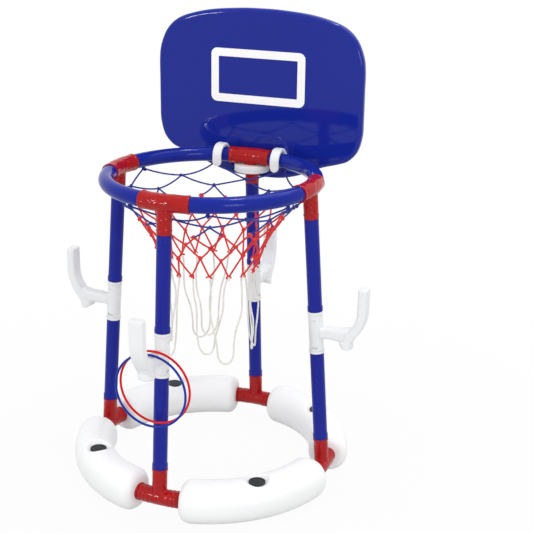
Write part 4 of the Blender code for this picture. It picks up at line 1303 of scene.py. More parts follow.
@dataclass
class Legs(Assembly):
    """Leg tubes and the hooked couplers between them."""

    collar_radius: float = 0.0135
    collar_length: float = 0.0085
    groove_drop: float = 0.0095
    groove_depth: float = 0.00035
    lip_radius: float = 0.0137
    lip_width: float = 0.0048
    lip_groove: float = 0.0119
    sleeve_radius: float = 0.0127
    reach: float = 0.084
    rise: float = 0.0906
    strap_half_width: float = 0.0130
    strap_half_depth: float = 0.0080
    strap_corner: float = 0.0045
    arm_half_width: float = 0.0100
    arm_corner_share: float = 0.60
    arm_start: float = 0.002
    arm_end: float = 0.0640
    arm_steps: int = 24
    arm_swell: float = 0.20
    arm_swell_place: float = 0.0115
    arm_swell_width: float = 0.0040
    arm_top: tuple[Point2, ...] = ((0.0, 0.0085), (0.0127, 0.0090), (0.025, 0.0126),
                                   (0.046, 0.0130), (0.060, 0.0165))
    arm_bottom: tuple[Point2, ...] = ((0.0, -0.0080), (0.0127, -0.0085), (0.060, -0.0115))
    cup_half_width: float = 0.0136
    cup_half_depth: float = 0.0118
    cup_corner_share: float = 0.80
    cup_top: float = -0.0095
    cup_notch: float = 0.0050
    cup_bore: float = 0.0088
    cup_bore_depth: float = 0.0125
    lower_window: tuple[float, ...] = (0.0115, 0.0055, 0.0023, 0.0085)
    upper_window: tuple[float, ...] = (-0.0145, 0.0047, 0.0012, 0.0108)
    window_reach: float = 0.0150
    voxel: float = 0.0009
    smooth_passes: int = 3
    path_shares: tuple[Point2, ...] = (
        (0.665, -0.239), (0.692, -0.100), (0.765, 0.030), (0.857, 0.139), (0.945, 0.300),
        (0.992, 0.460), (1.0, 0.640), (1.0, 0.968))

    def tube(self) -> Mesh:
        """Leg tube that stands at the origin, with a collar at its foot and a groove on top.

        Returns:
            The mesh.
        """
        layout = self.layout
        bore, wall, collar = layout.bore_radius, layout.tube_radius, self.collar_radius
        low = layout.fit_gap
        high = layout.tube_length - layout.fit_gap
        shoulder = low + self.collar_length
        groove, floor = high - self.groove_drop, wall - self.groove_depth
        outside = [(bore, low), (collar - 0.0004, low), (collar, low + 0.0012),
                   (collar, shoulder), (wall, shoulder + 0.0012)]
        outside += [(wall, low + 0.014 + (groove - 0.018) * k / 6) for k in range(7)]
        outside += [(wall, groove), (floor, groove + 0.0004), (floor, groove + 0.0010),
                    (wall, groove + 0.0014), (wall, high), (bore, high)]
        return turned(rounded(outside, SOFT_EDGE), layout.sides, closed=True)

    def sleeve(self) -> Mesh:
        """Sleeve of the coupler between two leg tubes.

        Returns:
            The mesh.
        """
        layout = self.layout
        low, high = layout.coupler_start, layout.upper_tube_start
        wall, lip, groove = self.sleeve_radius, self.lip_width, self.lip_groove
        half = [(self.lip_radius, 0.0), (self.lip_radius, lip), (groove, lip + 0.0002),
                (groove, lip + 0.0010), (wall + 0.0003, lip + 0.0012),
                (wall + 0.0003, lip + 0.0032), (wall - 0.0004, lip + 0.0035),
                (wall, lip + 0.0043)]
        upper = [(radius, -height) for radius, height in reversed(half)]
        upper += layout.spigot(0.0)
        lower = [(radius, -height) for radius, height in reversed(layout.spigot(0.0))] + half
        profile = [(radius, low + height) for radius, height in lower]
        profile += [(radius, high + height) for radius, height in upper]
        return turned(rounded(profile, SOFT_EDGE), layout.fine_sides, layout.leg_frame())

    def strap_section(self, placed: Matrix, scale: float = 1.0) -> list[Vector]:
        """Section of the strap, a rounded rectangle.

        Args:
            placed: Frame of the section.
            scale: Its size, as a share of the full one.

        Returns:
            The points.
        """
        deep = self.strap_half_depth * scale
        corners = rounded_rectangle(self.strap_half_width * scale, -deep, deep,
                                    self.strap_corner * scale, 6)
        return [placed @ Vector((depth, width, 0)) for width, depth in corners]

    def strap(self, seat: Matrix) -> Mesh:
        """Cane-shaped strap, from the top of the cup to its tip.

        Args:
            seat: Upright frame at the middle of the coupler.

        Returns:
            The mesh.
        """
        corners = [Vector((u * self.reach, 0, v * self.rise)) for u, v in self.path_shares[1:]]
        path = smooth_path(corners, 6)
        side = Vector((0, 1, 0))
        rings = []
        for k, point in enumerate(path):
            along = (path[min(k + 1, len(path) - 1)] - path[max(k - 1, 0)]).normalized()
            placed = axes_frame(side.cross(along), side, along, point)
            rings.append(self.strap_section(seat @ placed))
        tip = Vector((self.reach, 0, self.rise))
        for drop, scale in ((0.0004, 0.97), (0.0, 0.90)):
            placed = seat @ Matrix.Translation(tip - UP * drop)
            rings.append(self.strap_section(placed, scale))
        return skin(rings)

    def arm(self, seat: Matrix) -> Mesh:
        """Boxy arm that grows taller from the sleeve to the strap.

        Args:
            seat: Upright frame at the middle of the coupler.

        Returns:
            The mesh.
        """
        rings = []
        for k in range(self.arm_steps + 1):
            x = self.arm_start + (self.arm_end - self.arm_start) * k / self.arm_steps
            away = (x - self.arm_swell_place) / self.arm_swell_width
            swell = 1 + self.arm_swell * math.exp(-away ** 2)
            top, bottom = between(x, self.arm_top), between(x, self.arm_bottom)
            rings.append([seat @ Vector((x, self.arm_half_width * wide * swell, (top + bottom) / 2
                                         + (top - bottom) / 2 * high * swell))
                          for wide, high in squircle(self.arm_corner_share, 40)])
        return skin(rings)

    def cup(self, seat: Matrix) -> Mesh:
        """Oval cup below the arm, whose wall is lower on the side of the leg.

        Args:
            seat: Upright frame at the middle of the coupler.

        Returns:
            The mesh.
        """
        centre = self.path_shares[0][0] * self.reach
        bottom = self.path_shares[0][1] * self.rise
        levels = ((0.92, bottom, 1), (1.0, bottom + 0.0012, 1), (1.0, self.cup_top - 0.0008, 0),
                  (0.94, self.cup_top, 0), (0.80, self.cup_top + 0.0060, 0))
        oval = squircle(self.cup_corner_share, 60)
        rings = []
        for scale, height, notched in levels:
            ring = []
            for k, (deep, wide) in enumerate(oval):
                inwards = -math.cos(FULL_TURN * k / len(oval))
                lift = self.cup_notch * notched * between(inwards, ((0.2, 0.0), (0.7, 1.0)))
                ring.append(seat @ Vector((centre + self.cup_half_depth * scale * deep,
                                           self.cup_half_width * scale * wide, height + lift)))
            rings.append(ring)
        return skin(rings)

    def coupler(self) -> Mesh:
        """Whole hooked coupler of the leg on +X.

        Returns:
            The mesh.
        """
        seat = self.layout.coupler_frame()
        hook = modified(combined(self.arm(seat), joined=[self.strap(seat), self.cup(seat)]),
                        ("REMESH", {"mode": "VOXEL", "voxel_size": self.voxel}),
                        ("SMOOTH", {"factor": 0.5, "iterations": self.smooth_passes}))
        over = 0.004
        u, v = self.path_shares[0]
        below = seat @ Matrix.Translation((u * self.reach, 0, v * self.rise - over))
        tools = [turned([(self.cup_bore, 0), (self.cup_bore, self.cup_bore_depth + over)],
                        self.layout.sides, below)]
        windows = ((self.layout.coupler_start, self.lower_window),
                   (self.layout.upper_tube_start, self.upper_window))
        for side in (-1, 1):
            for station, (above, long, high, floor) in windows:
                window = box((-long, side * floor, -high), (long, side * self.window_reach, high))
                window.transform(self.layout.leg_frame(station + above))
                tools.append(window)
        return combined(self.sleeve(), joined=[hook], cut=tools)

    def build(self) -> None:
        """Make the tubes and couplers of the four legs."""
        tube, coupler, layout = self.tube(), self.coupler(), self.layout
        for leg in Leg:
            for level, station in (("lower", layout.base_stem),
                                   ("upper", layout.upper_tube_start)):
                self.dress(f"{level}_leg_{leg.label}", tube, "leg_tube",
                           [f"{level}_tube_{leg.label}"], turn=leg.turn @ layout.leg_frame(station))
            self.dress(f"hook_{leg.label}", coupler, "hook", [f"hook_coupler_{leg.label}"],
                       turn=leg.turn, sharp=50)


@dataclass
class Rim(Assembly):
    """Rim of four tube arcs and four tees, with the hooks that the net hangs on."""

    half_run: float = 0.0428
    bead: float = 0.0156
    bead_width: float = 0.0030
    neck_radius: float = 0.0124
    neck_length: float = 0.0200
    neck_gap: float = 0.0004
    bore_radius: float = 0.0108
    stem_ring: float = 0.0060
    fillet: float = 0.0040
    rumple: float = 0.0004
    rumple_scale: Triple = (75.0, 75.0, 120.0)
    rumple_start: float = 8.4
    arc_steps: int = 40
    hook_columns: int = 8
    hook_width: float = 0.0030
    hook_trough: float = 0.0062
    hook_wall: float = 0.0016
    hook_drop: float = 0.0073
    hook_root: float = 0.0036
    hook_lip: float = 0.0020

    def tee(self) -> Mesh:
        """Rim tee on +X.

        Returns:
            The mesh.
        """
        layout = self.layout
        end, radius, socket = self.half_run, layout.rim_tee_radius, self.neck_radius + self.neck_gap
        plain = end - 1.6 * self.bead_width
        half = [(plain * k / 26, radius) for k in range(27)]
        half += rounded([(plain + 0.0004, radius), (end - self.bead_width, self.bead),
                         (end, self.bead), (end, socket), (end - self.neck_length, socket),
                         (end - self.neck_length, CAP_RADIUS)], 0.0006)
        run = bent(mirrored(half[1:]) + half, layout.rim_radius, layout.rim_height, 72)
        down = layout.leg_frame(layout.leg_length) @ Matrix.Rotation(math.pi, 4, "Y")
        foot, stem, lip = layout.rim_stem, layout.stem_radius, layout.stem_lip_radius
        ring = foot - self.stem_ring
        upper = [(stem, 0.0), (stem, ring - 0.0020), (lip, ring - 0.0015), (lip, ring - 0.0005),
                 (stem, ring), (stem, foot), *layout.spigot(foot)]
        whole = combined(run, joined=[saddle_stem(upper, radius, self.fillet, down)])
        return rumpled(whole, self.rumple, Vector(self.rumple_scale), self.rumple_start)

    def arc(self) -> Mesh:
        """Hollow quarter of the rim, centred on +X, with a neck at each end.

        Returns:
            The mesh.
        """
        layout = self.layout
        wall = layout.rim_tube_radius
        shoulder = math.pi / 4 * layout.rim_radius - self.half_run - layout.fit_gap
        end = shoulder + self.neck_length
        start = [(-end, self.neck_radius), (-shoulder, self.neck_radius), (-shoulder, wall),
                 (-shoulder + 0.0022, wall), (-shoulder + 0.0026, wall - 0.0003),
                 (-shoulder + 0.0032, wall - 0.0003), (-shoulder + 0.0036, wall)]
        shares = [2 * k / self.arc_steps - 1 for k in range(self.arc_steps + 1)]
        middle = [((shoulder - 0.008) * share, wall) for share in shares]
        inside = [(-end * share, self.bore_radius) for share in shares]
        profile = rounded(start + middle + mirrored(start), SOFT_EDGE) + inside
        return bent(profile, layout.rim_radius, layout.rim_height, 56, closed=True)

    def hook(self) -> Mesh:
        """Small J-shaped hook, hanging from the origin and opening inwards.

        Returns:
            The mesh.
        """
        inner = self.hook_trough / 2
        outer = inner + self.hook_wall
        low, root = -self.hook_drop, self.hook_root
        floor = low + self.hook_wall
        lip = floor + self.hook_lip
        profile = [(outer, root), (outer, low), (-outer, low), (-outer, lip), (-inner, lip),
                   (-inner, floor), (inner, floor), (inner, root)]
        rings = [[Vector((x, side * self.hook_width / 2, z)) for x, z in profile]
                 for side in (-1, 1)]
        return modified(skin(rings), ("BEVEL", {"width": 0.0005, "segments": 2,
                                                "limit_method": "ANGLE",
                                                "angle_limit": math.radians(32)}))

    def build(self) -> None:
        """Make the tees, arcs and net hooks."""
        layout, tee, arc = self.layout, self.tee(), self.arc()
        for leg in Leg:
            self.dress(f"rim_joint_{leg.label}", tee, "tee", [f"rim_tee_{leg.label}"],
                       turn=leg.turn, sharp=50)
        for quarter in Quarter:
            self.dress(f"rim_tube_{quarter.label}", arc, "rim_tube",
                       [f"rim_arc_{quarter.label}"], turn=quarter.turn)
        angles = [FULL_TURN * (k + 0.5) / self.hook_columns for k in range(self.hook_columns)]
        low = layout.rim_height - layout.rim_tube_radius
        points = [polar(layout.rim_radius, angle, low) for angle in angles]
        shape = bpy.data.objects.new("net_hook_shape", self.hook())
        hooks = scatter_tree("hooks_on_rim", spin=False).run(
            points_mesh(points, angles), Shape=shape, Material=self.finishes["rim_tube"])
        self.dress("net_hooks", hooks, "rim_tube")


@dataclass
class Backboard(Assembly):
    """Backboard with its target frame, clips, collar and screws."""

    behind_rim: float = 0.0255
    thickness: float = 0.020
    half_width: float = 0.2045
    height: float = 0.3145
    below_rim: float = 0.0465
    edge: float = 0.0075
    boss_half_width: float = 0.0655
    boss_slope: float = 0.0040
    boss_taper: float = 0.11
    boss_height: float = 0.0030
    boss_below: float = 0.0320
    boss_above: float = 0.0340
    boss_corner: float = 0.0240
    target_half_width: float = 0.0935
    target_line: float = 0.0150
    target_above: float = 0.0930
    target_height: float = 0.1000
    target_corner: float = 0.0120
    target_inner_corner: float = 0.0012
    target_thickness: float = 0.0008
    clip_offset: float = 0.0575
    clip_width: float = 0.0175
    clip_thickness: float = 0.0060
    clip_crown: float = 0.0016
    clip_rounding: float = 0.0026
    clip_tip: float = 0.0190
    clip_foot: float = 0.0070
    clip_foot_drop: float = 0.0120
    clip_tip_steps: int = 12
    clip_arch_steps: int = 14
    collar_radius: float = 0.0325
    collar_height: float = 0.0128
    collar_seam: tuple[float, ...] = (0.0042, 0.0046, 0.0054, 0.0058)
    collar_seam_depth: float = 0.0004
    screw_head: float = 0.0045
    screw_head_height: float = 0.0024
    screw_shank: float = 0.0018
    screw_thread: float = 0.00022
    screw_turns: int = 22
    screw_bite: float = 0.0046
    recess_reach: float = 0.0022
    recess_half_width: float = 0.0004
    recess_depth: float = 0.0011
    collar_screw: float = 0.0220
    outline_shares: tuple[Point2, ...] = (
        (0.000, 0.000), (0.250, 0.006), (0.475, 0.047), (0.625, 0.092), (0.790, 0.124),
        (0.880, 0.150), (0.957, 0.208), (0.996, 0.300), (1.000, 0.400), (1.000, 0.560),
        (1.000, 0.670), (0.983, 0.755), (0.924, 0.845), (0.830, 0.908), (0.700, 0.947),
        (0.480, 0.980), (0.200, 0.997), (0.000, 1.000))

    @property
    def front(self) -> float:
        """Depth of the board's face."""
        return self.layout.rim_radius + self.behind_rim

    @property
    def back(self) -> float:
        """Depth of the board's back."""
        return self.front + self.thickness

    @property
    def seat(self) -> float:
        """Depth at which the clips and the collar meet the boss."""
        return self.front - self.boss_height - self.layout.fit_gap

    @property
    def collar_top(self) -> float:
        """Height of the collar's upper face."""
        return self.layout.rim_height - self.layout.rim_tee_radius - self.layout.fit_gap

    def outline(self, inset: float) -> list[Vector]:
        """Smooth outline of the board as (x, z) points.

        Args:
            inset: How far inwards it lies.

        Returns:
            The points.
        """
        bottom = self.layout.rim_height - self.below_rim
        half = [Vector((x * self.half_width, bottom + z * self.height))
                for x, z in self.outline_shares]
        other = [Vector((-point.x, point.y)) for point in reversed(half[1:-1])]
        path = smooth_path([*half, *other], 7, closed=True)
        points = []
        for k, point in enumerate(path):
            along = path[(k + 1) % len(path)] - path[k - 1]
            points.append(point + Vector((-along.y, along.x)).normalized() * inset)
        return points

    def slab(self) -> Mesh:
        """Board with rounded edges.

        Returns:
            The mesh.
        """
        layers = [(self.edge + 0.0006, self.front)]
        steps = 8
        for k in range(steps + 1):
            angle = QUARTER_TURN * k / steps
            layers.append((self.edge * (1 - math.sin(angle)),
                           self.front + self.edge * (1 - math.cos(angle))))
        layers += [(inset, self.front + self.back - depth) for inset, depth in reversed(layers)]
        return skin([[Vector((p.x, depth, p.y)) for p in self.outline(inset)]
                     for inset, depth in layers])

    def boss(self) -> Mesh:
        """Raised seat for the clips: a block that narrows upwards, with soft sides.

        Returns:
            The mesh.
        """
        low = self.layout.rim_height - self.boss_below
        high = self.layout.rim_height + self.boss_above
        sink, steps = 0.0006, 10
        layers = [(self.boss_slope, self.front + 0.003)]
        for k in range(steps + 1):
            t = k / steps
            depth = self.front + sink - (self.boss_height + sink) * eased(t)
            layers.append((self.boss_slope * (1 - t), depth))
        layers.append((-0.0006, self.front - self.boss_height))
        rings = []
        for grown, depth in layers:
            points = rounded_rectangle(self.boss_half_width + grown, low - grown / 2,
                                       high + grown, self.boss_corner + grown)
            rings.append([Vector((x * (1 - self.boss_taper * (z - low) / (high - low)), depth, z))
                          for x, z in points])
        return skin(rings)

    def target(self) -> Mesh:
        """White frame on the face.

        Returns:
            The mesh.
        """
        low = self.layout.rim_height + self.target_above
        high = low + self.target_height
        line, soft = self.target_line, 0.0003
        back = self.front - self.layout.fit_gap
        front = back - self.target_thickness
        rings = []
        for inset, depth in ((0, back), (0, front + soft), (soft, front), (line - soft, front),
                             (line, front + soft), (line, back)):
            share = inset / line
            corner = self.target_corner * (1 - share) + self.target_inner_corner * share
            points = rounded_rectangle(self.target_half_width - inset, low + inset, high - inset,
                                       corner)
            rings.append([Vector((x, depth, z)) for x, z in points])
        return skin(rings, closed=True)

    def clip(self) -> Mesh:
        """Clip from the board over the rim and down its inner side, on the plane X = 0.

        Returns:
            The mesh.
        """
        layout = self.layout
        rim_z = layout.rim_height
        half, thick = self.clip_width / 2, self.clip_thickness
        middles = [math.sqrt(layout.rim_radius ** 2 - (self.clip_offset + side * half) ** 2)
                   for side in (1, -1)]
        near, far = middles
        across = (max(layout.rim_tube_radius * layout.rim_radius / m for m in middles)
                  + 2 * layout.fit_gap)
        rise = layout.rim_tube_radius + 2 * layout.fit_gap
        stations = []
        for k in range(self.clip_tip_steps + 1):
            angle = QUARTER_TURN * k / self.clip_tip_steps
            z = rim_z - self.clip_tip + half * (1 - math.cos(angle))
            stations.append((Vector((0, near - across, z)), Vector((0, near - across - thick, z)),
                             max(0.001, half * math.sin(angle))))
        steps = self.clip_arch_steps
        arch = [(near, math.pi - QUARTER_TURN * k / steps) for k in range(steps + 1)]
        arch += [(far, QUARTER_TURN - QUARTER_TURN * k / steps) for k in range(steps // 2 + 1)]
        for middle, angle in arch:
            out, up = math.cos(angle), math.sin(angle)
            crown = rise + thick + self.clip_crown * up ** 2
            stations.append((Vector((0, middle + across * out, rim_z + rise * up)),
                             Vector((0, middle + (across + thick) * out, rim_z + crown * up)),
                             half))
        foot = self.seat - self.clip_foot
        for drop, wide in ((thick * 0.7, half), (self.clip_foot_drop - 0.0016, half),
                           (self.clip_foot_drop, half - 0.0008)):
            stations.append((Vector((0, foot, rim_z - drop)),
                             Vector((0, self.seat, rim_z - drop)), wide))
        rings = []
        for under, over, wide in stations:
            deep, middle = (over - under) / 2, (over + under) / 2
            reach = deep.length
            corner = min(self.clip_rounding, wide * 0.9)
            rings.append([middle + Vector((x, 0, 0)) + deep * (y / reach)
                          for x, y in rounded_rectangle(wide, -reach, reach, corner, 5)])
        return skin(rings)

    def collar(self) -> Mesh:
        """Round collar on the stem of the back tee, cut flat where the board seats.

        Returns:
            The mesh.
        """
        layout = self.layout
        top = self.collar_top
        bottom = top - self.collar_height
        lean = math.tan(layout.lean) * (layout.rim_height - (top + bottom) / 2)
        seat = Matrix.Translation((0, layout.rim_radius + lean, 0))
        radius, floor = self.collar_radius, self.collar_radius - self.collar_seam_depth
        seam = [bottom + rise for rise in self.collar_seam]
        profile = [(CAP_RADIUS, bottom), (radius, bottom), (radius, seam[0]), (floor, seam[1]),
                   (floor, seam[2]), (radius, seam[3]), (radius, top), (CAP_RADIUS, top)]
        bore = layout.stem_lip_radius + layout.fit_gap
        ends = (layout.leg_length - layout.rim_stem, layout.leg_length)
        hole = turned([(bore, end) for end in ends], layout.fine_sides,
                      Leg.BACK.turn @ layout.leg_frame())
        behind = box((-2 * radius, self.seat, bottom - 0.002),
                     (2 * radius, self.back + radius, top + 0.002))
        return combined(turned(rounded(profile, 0.0014, 4), 96, seat), cut=[hole, behind])

    def screw(self) -> Mesh:
        """Screw with a cross recess, along Y from its point to its head.

        Returns:
            The mesh.
        """
        length = self.back + self.layout.fit_gap - (self.seat - self.screw_bite)
        head, shank, thick = self.screw_head, self.screw_shank, self.screw_head_height
        profile = [(TIP_RADIUS, -length), (shank * 0.5, -length + 0.0003)]
        for k in range(self.screw_turns + 1):
            wave = self.screw_thread if k % 2 else -self.screw_thread
            height = -length + 0.0022 + (length - 0.004) * k / self.screw_turns
            profile.append((shank + wave, height))
        profile += [(shank, -0.0006), (shank, 0.0), (head * 0.96, 0.0), (head, 0.0004),
                    (head * 0.93, thick * 0.52), (head * 0.72, thick * 0.84),
                    (head * 0.4, thick), (TIP_RADIUS, thick)]
        long, narrow = self.recess_reach, self.recess_half_width
        bars = [box((-x, -y, thick - self.recess_depth), (x, y, thick + 0.001))
                for x, y in ((long, narrow), (narrow, long))]
        screw = combined(turned(profile, 32), cut=bars)
        screw.transform(Matrix.Rotation(-QUARTER_TURN, 4, "X"))
        return screw

    def build(self) -> None:
        """Make the board and all that holds it."""
        self.dress("board", combined(self.slab(), joined=[self.boss()]), "board", ["backboard"],
                   sharp=60, flat=True)
        self.dress("target_print", self.target(), "paint", ["target_frame"])
        clip = self.clip()
        for name, side in (("left", -1), ("right", 1)):
            self.dress(f"clip_{name}", clip, "hook", [f"rim_clip_{name}"],
                       turn=Matrix.Translation((side * self.clip_offset, 0, 0)), sharp=50)
        self.dress("collar", self.collar(), "hook", ["backboard_collar"])
        heights = {self.clip_offset: self.layout.rim_height,
                   self.collar_screw: self.collar_top - self.collar_height / 2}
        points = [Vector((side * x, self.back + self.layout.fit_gap, z))
                  for x, z in heights.items() for side in (-1, 1)]
        shape = bpy.data.objects.new("screw_shape", self.screw())
        screws = scatter_tree("screws_in_board", spin=False).run(
            points_mesh(points), Shape=shape, Material=self.finishes["screw"])
        self.dress("board_screws", screws, "screw", ["clip_screw_left", "clip_screw_right",
                                                     "collar_screw_left", "collar_screw_right"])


@dataclass
class Net(Assembly):
    """Net of knotted cord and the white cords that hang in loops from its last row."""

    blue_radius: float = 0.0015
    red_radius: float = 0.0016
    white_radius: float = 0.0016
    columns: int = 8
    split: int = 2
    red_row: int = 3
    top_drop: float = 0.0167
    top_outset: float = 0.0014
    bottom_drop: float = 0.1580
    back_drop: float = 0.0060
    back_inset: float = 0.0050
    drop_shares: tuple[float, ...] = (0.000, 0.115, 0.236, 0.363, 0.533, 0.731, 1.000)
    radius_shares: tuple[float, ...] = (1.000, 0.871, 0.793, 0.705, 0.601, 0.529, 0.430)
    loop_length: float = 0.160
    loop_swing: float = 0.045
    loop_lean: float = 0.065
    loop_stagger: float = 0.0045
    loop_skew: float = 0.30
    loop_sway: float = 0.042
    loop_wave: float = 0.0022
    loop_columns: int = 2
    loop_shares: tuple[Point2, ...] = ((0.985, 0.06), (0.90, 0.22), (0.78, 0.42), (0.66, 0.62),
                                       (0.56, 0.78), (0.46, 0.90), (0.26, 0.975))
    radius_spread: float = 0.0022
    angle_spread: float = 0.030
    drop_spread: float = 0.0036
    slack: float = 0.035
    slack_spread: float = 2.2
    sway: float = 0.05
    tail_reach: tuple[float, float] = (0.0042, 0.0064)
    net_lobes: float = 0.16
    net_twist: float = 0.0072
    loop_lobes: float = 0.14
    loop_twist: float = 0.0050
    spacing: float = 0.0011
    knot_drop: float = 0.0022
    seed: int = 11
    knots: dict[tuple[int, int], Vector] = field(default_factory=dict)

    @property
    def last(self) -> int:
        """Number of the last row of knots."""
        return len(self.drop_shares) - 1

    def row_columns(self, row: int) -> int:
        """Number of knots in a row."""
        return self.columns * self.split if row >= self.red_row else self.columns

    def shifted(self, row: int) -> bool:
        """Whether a row's knots stand half a step round."""
        return row % 2 == (1 if row >= self.red_row else 0)

    def place_knots(self, dice: random.Random) -> None:
        """Work out the place of each knot, a little uneven below the first rows.

        Args:
            dice: Source of the unevenness.
        """
        layout = self.layout
        for row, (drop_share, radius_share) in enumerate(zip(self.drop_shares,
                                                             self.radius_shares)):
            for column in range(self.row_columns(row)):
                angle = FULL_TURN * (column + self.shifted(row) / 2) / self.row_columns(row)
                drop = self.top_drop + (self.bottom_drop - self.top_drop) * drop_share
                radius = layout.rim_radius * radius_share
                if row == 0:
                    radius += self.top_outset
                if row == 1 and abs(angle - Leg.BACK.value) < math.pi / self.columns:
                    drop += self.back_drop
                    radius -= self.back_inset
                if row > 1:
                    radius += dice.uniform(-self.radius_spread, self.radius_spread)
                    angle += dice.uniform(-self.angle_spread, self.angle_spread)
                    drop += dice.uniform(-self.drop_spread, self.drop_spread)
                self.knots[row, column] = polar(radius, angle, layout.rim_height - drop)

    def links(self, row: int) -> list[tuple[int, int]]:
        """Pairs of columns that strands join, from a row to the row below it.

        Args:
            row: Number of the upper row.

        Returns:
            The pairs, the upper column first.
        """
        count = self.row_columns(row)
        if row + 1 == self.red_row:
            return [(c, c * self.split + k) for c in range(count) for k in range(self.split)]
        step = 1 if self.shifted(row) else -1
        return [(c, (c + move) % count) for c in range(count) for move in (0, step)]

    def strand(self, start: Vector, end: Vector, dice: random.Random) -> list[Vector]:
        """Strand that hangs a little slack between two knots.

        Args:
            start: Place of the upper knot.
            end: Place of the lower knot.
            dice: Source of the unevenness.

        Returns:
            The points.
        """
        span = end - start
        flat = Vector((span.x, span.y, 0)).length
        sag = self.slack * flat * dice.uniform(0.0, self.slack_spread)
        sway = Vector((-span.y, span.x, 0)) * dice.uniform(-self.sway, self.sway)
        shares = [k / 8 for k in range(9)]
        return [start + span * t + (sway - UP * sag) * (4 * t * (1 - t)) for t in shares]

    def tails(self, knot: Vector, dice: random.Random) -> list[list[Vector]]:
        """Two short cut ends that stick out of a knot.

        Args:
            knot: Place of the knot.
            dice: Source of the unevenness.

        Returns:
            The points of each end.
        """
        outward = Vector((knot.x, knot.y, 0)).normalized()
        side = outward.cross(UP)
        tails = []
        for sign in (-1, 1):
            reach = dice.uniform(*self.tail_reach)
            way = (side * sign + outward * dice.uniform(-0.3, 0.6)
                   - UP * dice.uniform(-0.1, 0.5)).normalized()
            tails.append([knot, knot + way * reach * 0.5, knot + way * reach - UP * 0.0008])
        return tails

    def loop(self, first: int, stagger: float, dice: random.Random) -> list[Vector]:
        """Path of one white cord between two knots of the last row.

        Args:
            first: Column of the first of the two knots.
            stagger: How far outwards it hangs from the net.
            dice: Source of the unevenness.

        Returns:
            The points of the path.
        """
        count = self.row_columns(self.last)
        half = math.pi * self.loop_columns / count
        middle = FULL_TURN * first / count + half
        radius = self.layout.rim_radius * self.radius_shares[-1]
        top = self.layout.rim_height - self.bottom_drop
        length = self.loop_length * (1 + self.loop_swing * math.sin(3 * first)
                                     + self.loop_lean * math.sin(middle))
        skew = half * dice.uniform(-self.loop_skew, self.loop_skew)
        middle += skew
        sides = []
        for sign in (-1, 1):
            phase = dice.uniform(0, FULL_TURN)
            points = []
            for wide, deep in self.loop_shares:
                angle = middle - skew * (1 - deep) ** 2 + sign * half * wide
                angle += self.loop_sway * math.sin(phase + 8 * deep) * math.sin(math.pi * deep)
                reach = (radius + stagger * min(1.0, deep * 2.2)
                         + self.loop_wave * math.sin(phase + 9 * deep))
                points.append(polar(reach, angle, top - length * deep))
            sides.append(points)
        bottom = polar(radius + stagger, middle, top - length)
        left, right = (self.knots[self.last, (first + step) % count]
                       for step in (0, self.loop_columns))
        return smooth_path([left, *sides[0], bottom, *reversed(sides[1]), right], 6)

    def knot_shape(self, cord: float) -> bpy.types.Object:
        """Small knot of one cord, tied round itself.

        Args:
            cord: Radius of the cord.

        Returns:
            The object.
        """
        path = []
        for k in range(42):
            t = FULL_TURN * k / 42
            reach = 2 + math.cos(3 * t)
            path.append(polar(reach, 2 * t, math.sin(3 * t)) * cord * 0.62)
        return bpy.data.objects.new("knot_shape", swept(path, cord * 0.92, 7))

    def build(self) -> None:
        """Make the blue, red and white cords."""
        dice = random.Random(self.seed)
        self.place_knots(dice)
        last = self.last
        cords = cord_tree()
        scatter = scatter_tree("knots_on_net", spin=True)
        strands = [[self.strand(self.knots[row, above], self.knots[row + 1, below], dice)
                    for above, below in self.links(row)] for row in range(last)]
        for name, rows, knot_rows, radius in (
                ("blue", range(self.red_row), range(self.red_row), self.blue_radius),
                ("red", range(self.red_row, last), range(self.red_row, last + 1),
                 self.red_radius)):
            shape = self.knot_shape(radius)
            chains = [chain for row in rows for chain in strands[row]]
            tied = [place for (row, _), place in self.knots.items() if row in knot_rows]
            if name == "red":
                for (row, _), place in self.knots.items():
                    if row in (self.red_row, last):
                        chains += self.tails(place, dice)
            material = self.finishes[f"cord_{name}"]
            cord = cords.run(chains_mesh(chains), Radius=radius, Lobe_depth=self.net_lobes,
                             Twist_pitch=self.net_twist, Spacing=self.spacing, Material=material)
            knots = scatter.run(points_mesh(tied), Shape=shape, Seed=self.seed, Material=material)
            self.dress(f"net_cord_{name}", welded([cord, knots]), f"cord_{name}",
                       [f"net_{name}"], sharp=70)
        turns = [k for k in range(self.row_columns(last))
                 if k % (2 * self.loop_columns) < self.loop_columns]
        small, material = self.knot_shape(self.white_radius), self.finishes["cord_white"]
        for number, first in enumerate(turns):
            stagger = self.loop_stagger * (1 if number % self.loop_columns else -1)
            path = self.loop(first, stagger, dice)
            cord = cords.run(chains_mesh([path]), Radius=self.white_radius,
                             Lobe_depth=self.loop_lobes, Twist_pitch=self.loop_twist,
                             Spacing=self.spacing, Material=material)
            ends = [path[end] - UP * self.knot_drop for end in (0, -1)]
            knots = scatter.run(points_mesh(ends), Shape=small, Seed=number, Material=material)
            self.dress(f"white_cord_{number + 1}", welded([cord, knots]), "cord_white",
                       [f"net_tassel_{number + 1}"], sharp=70)


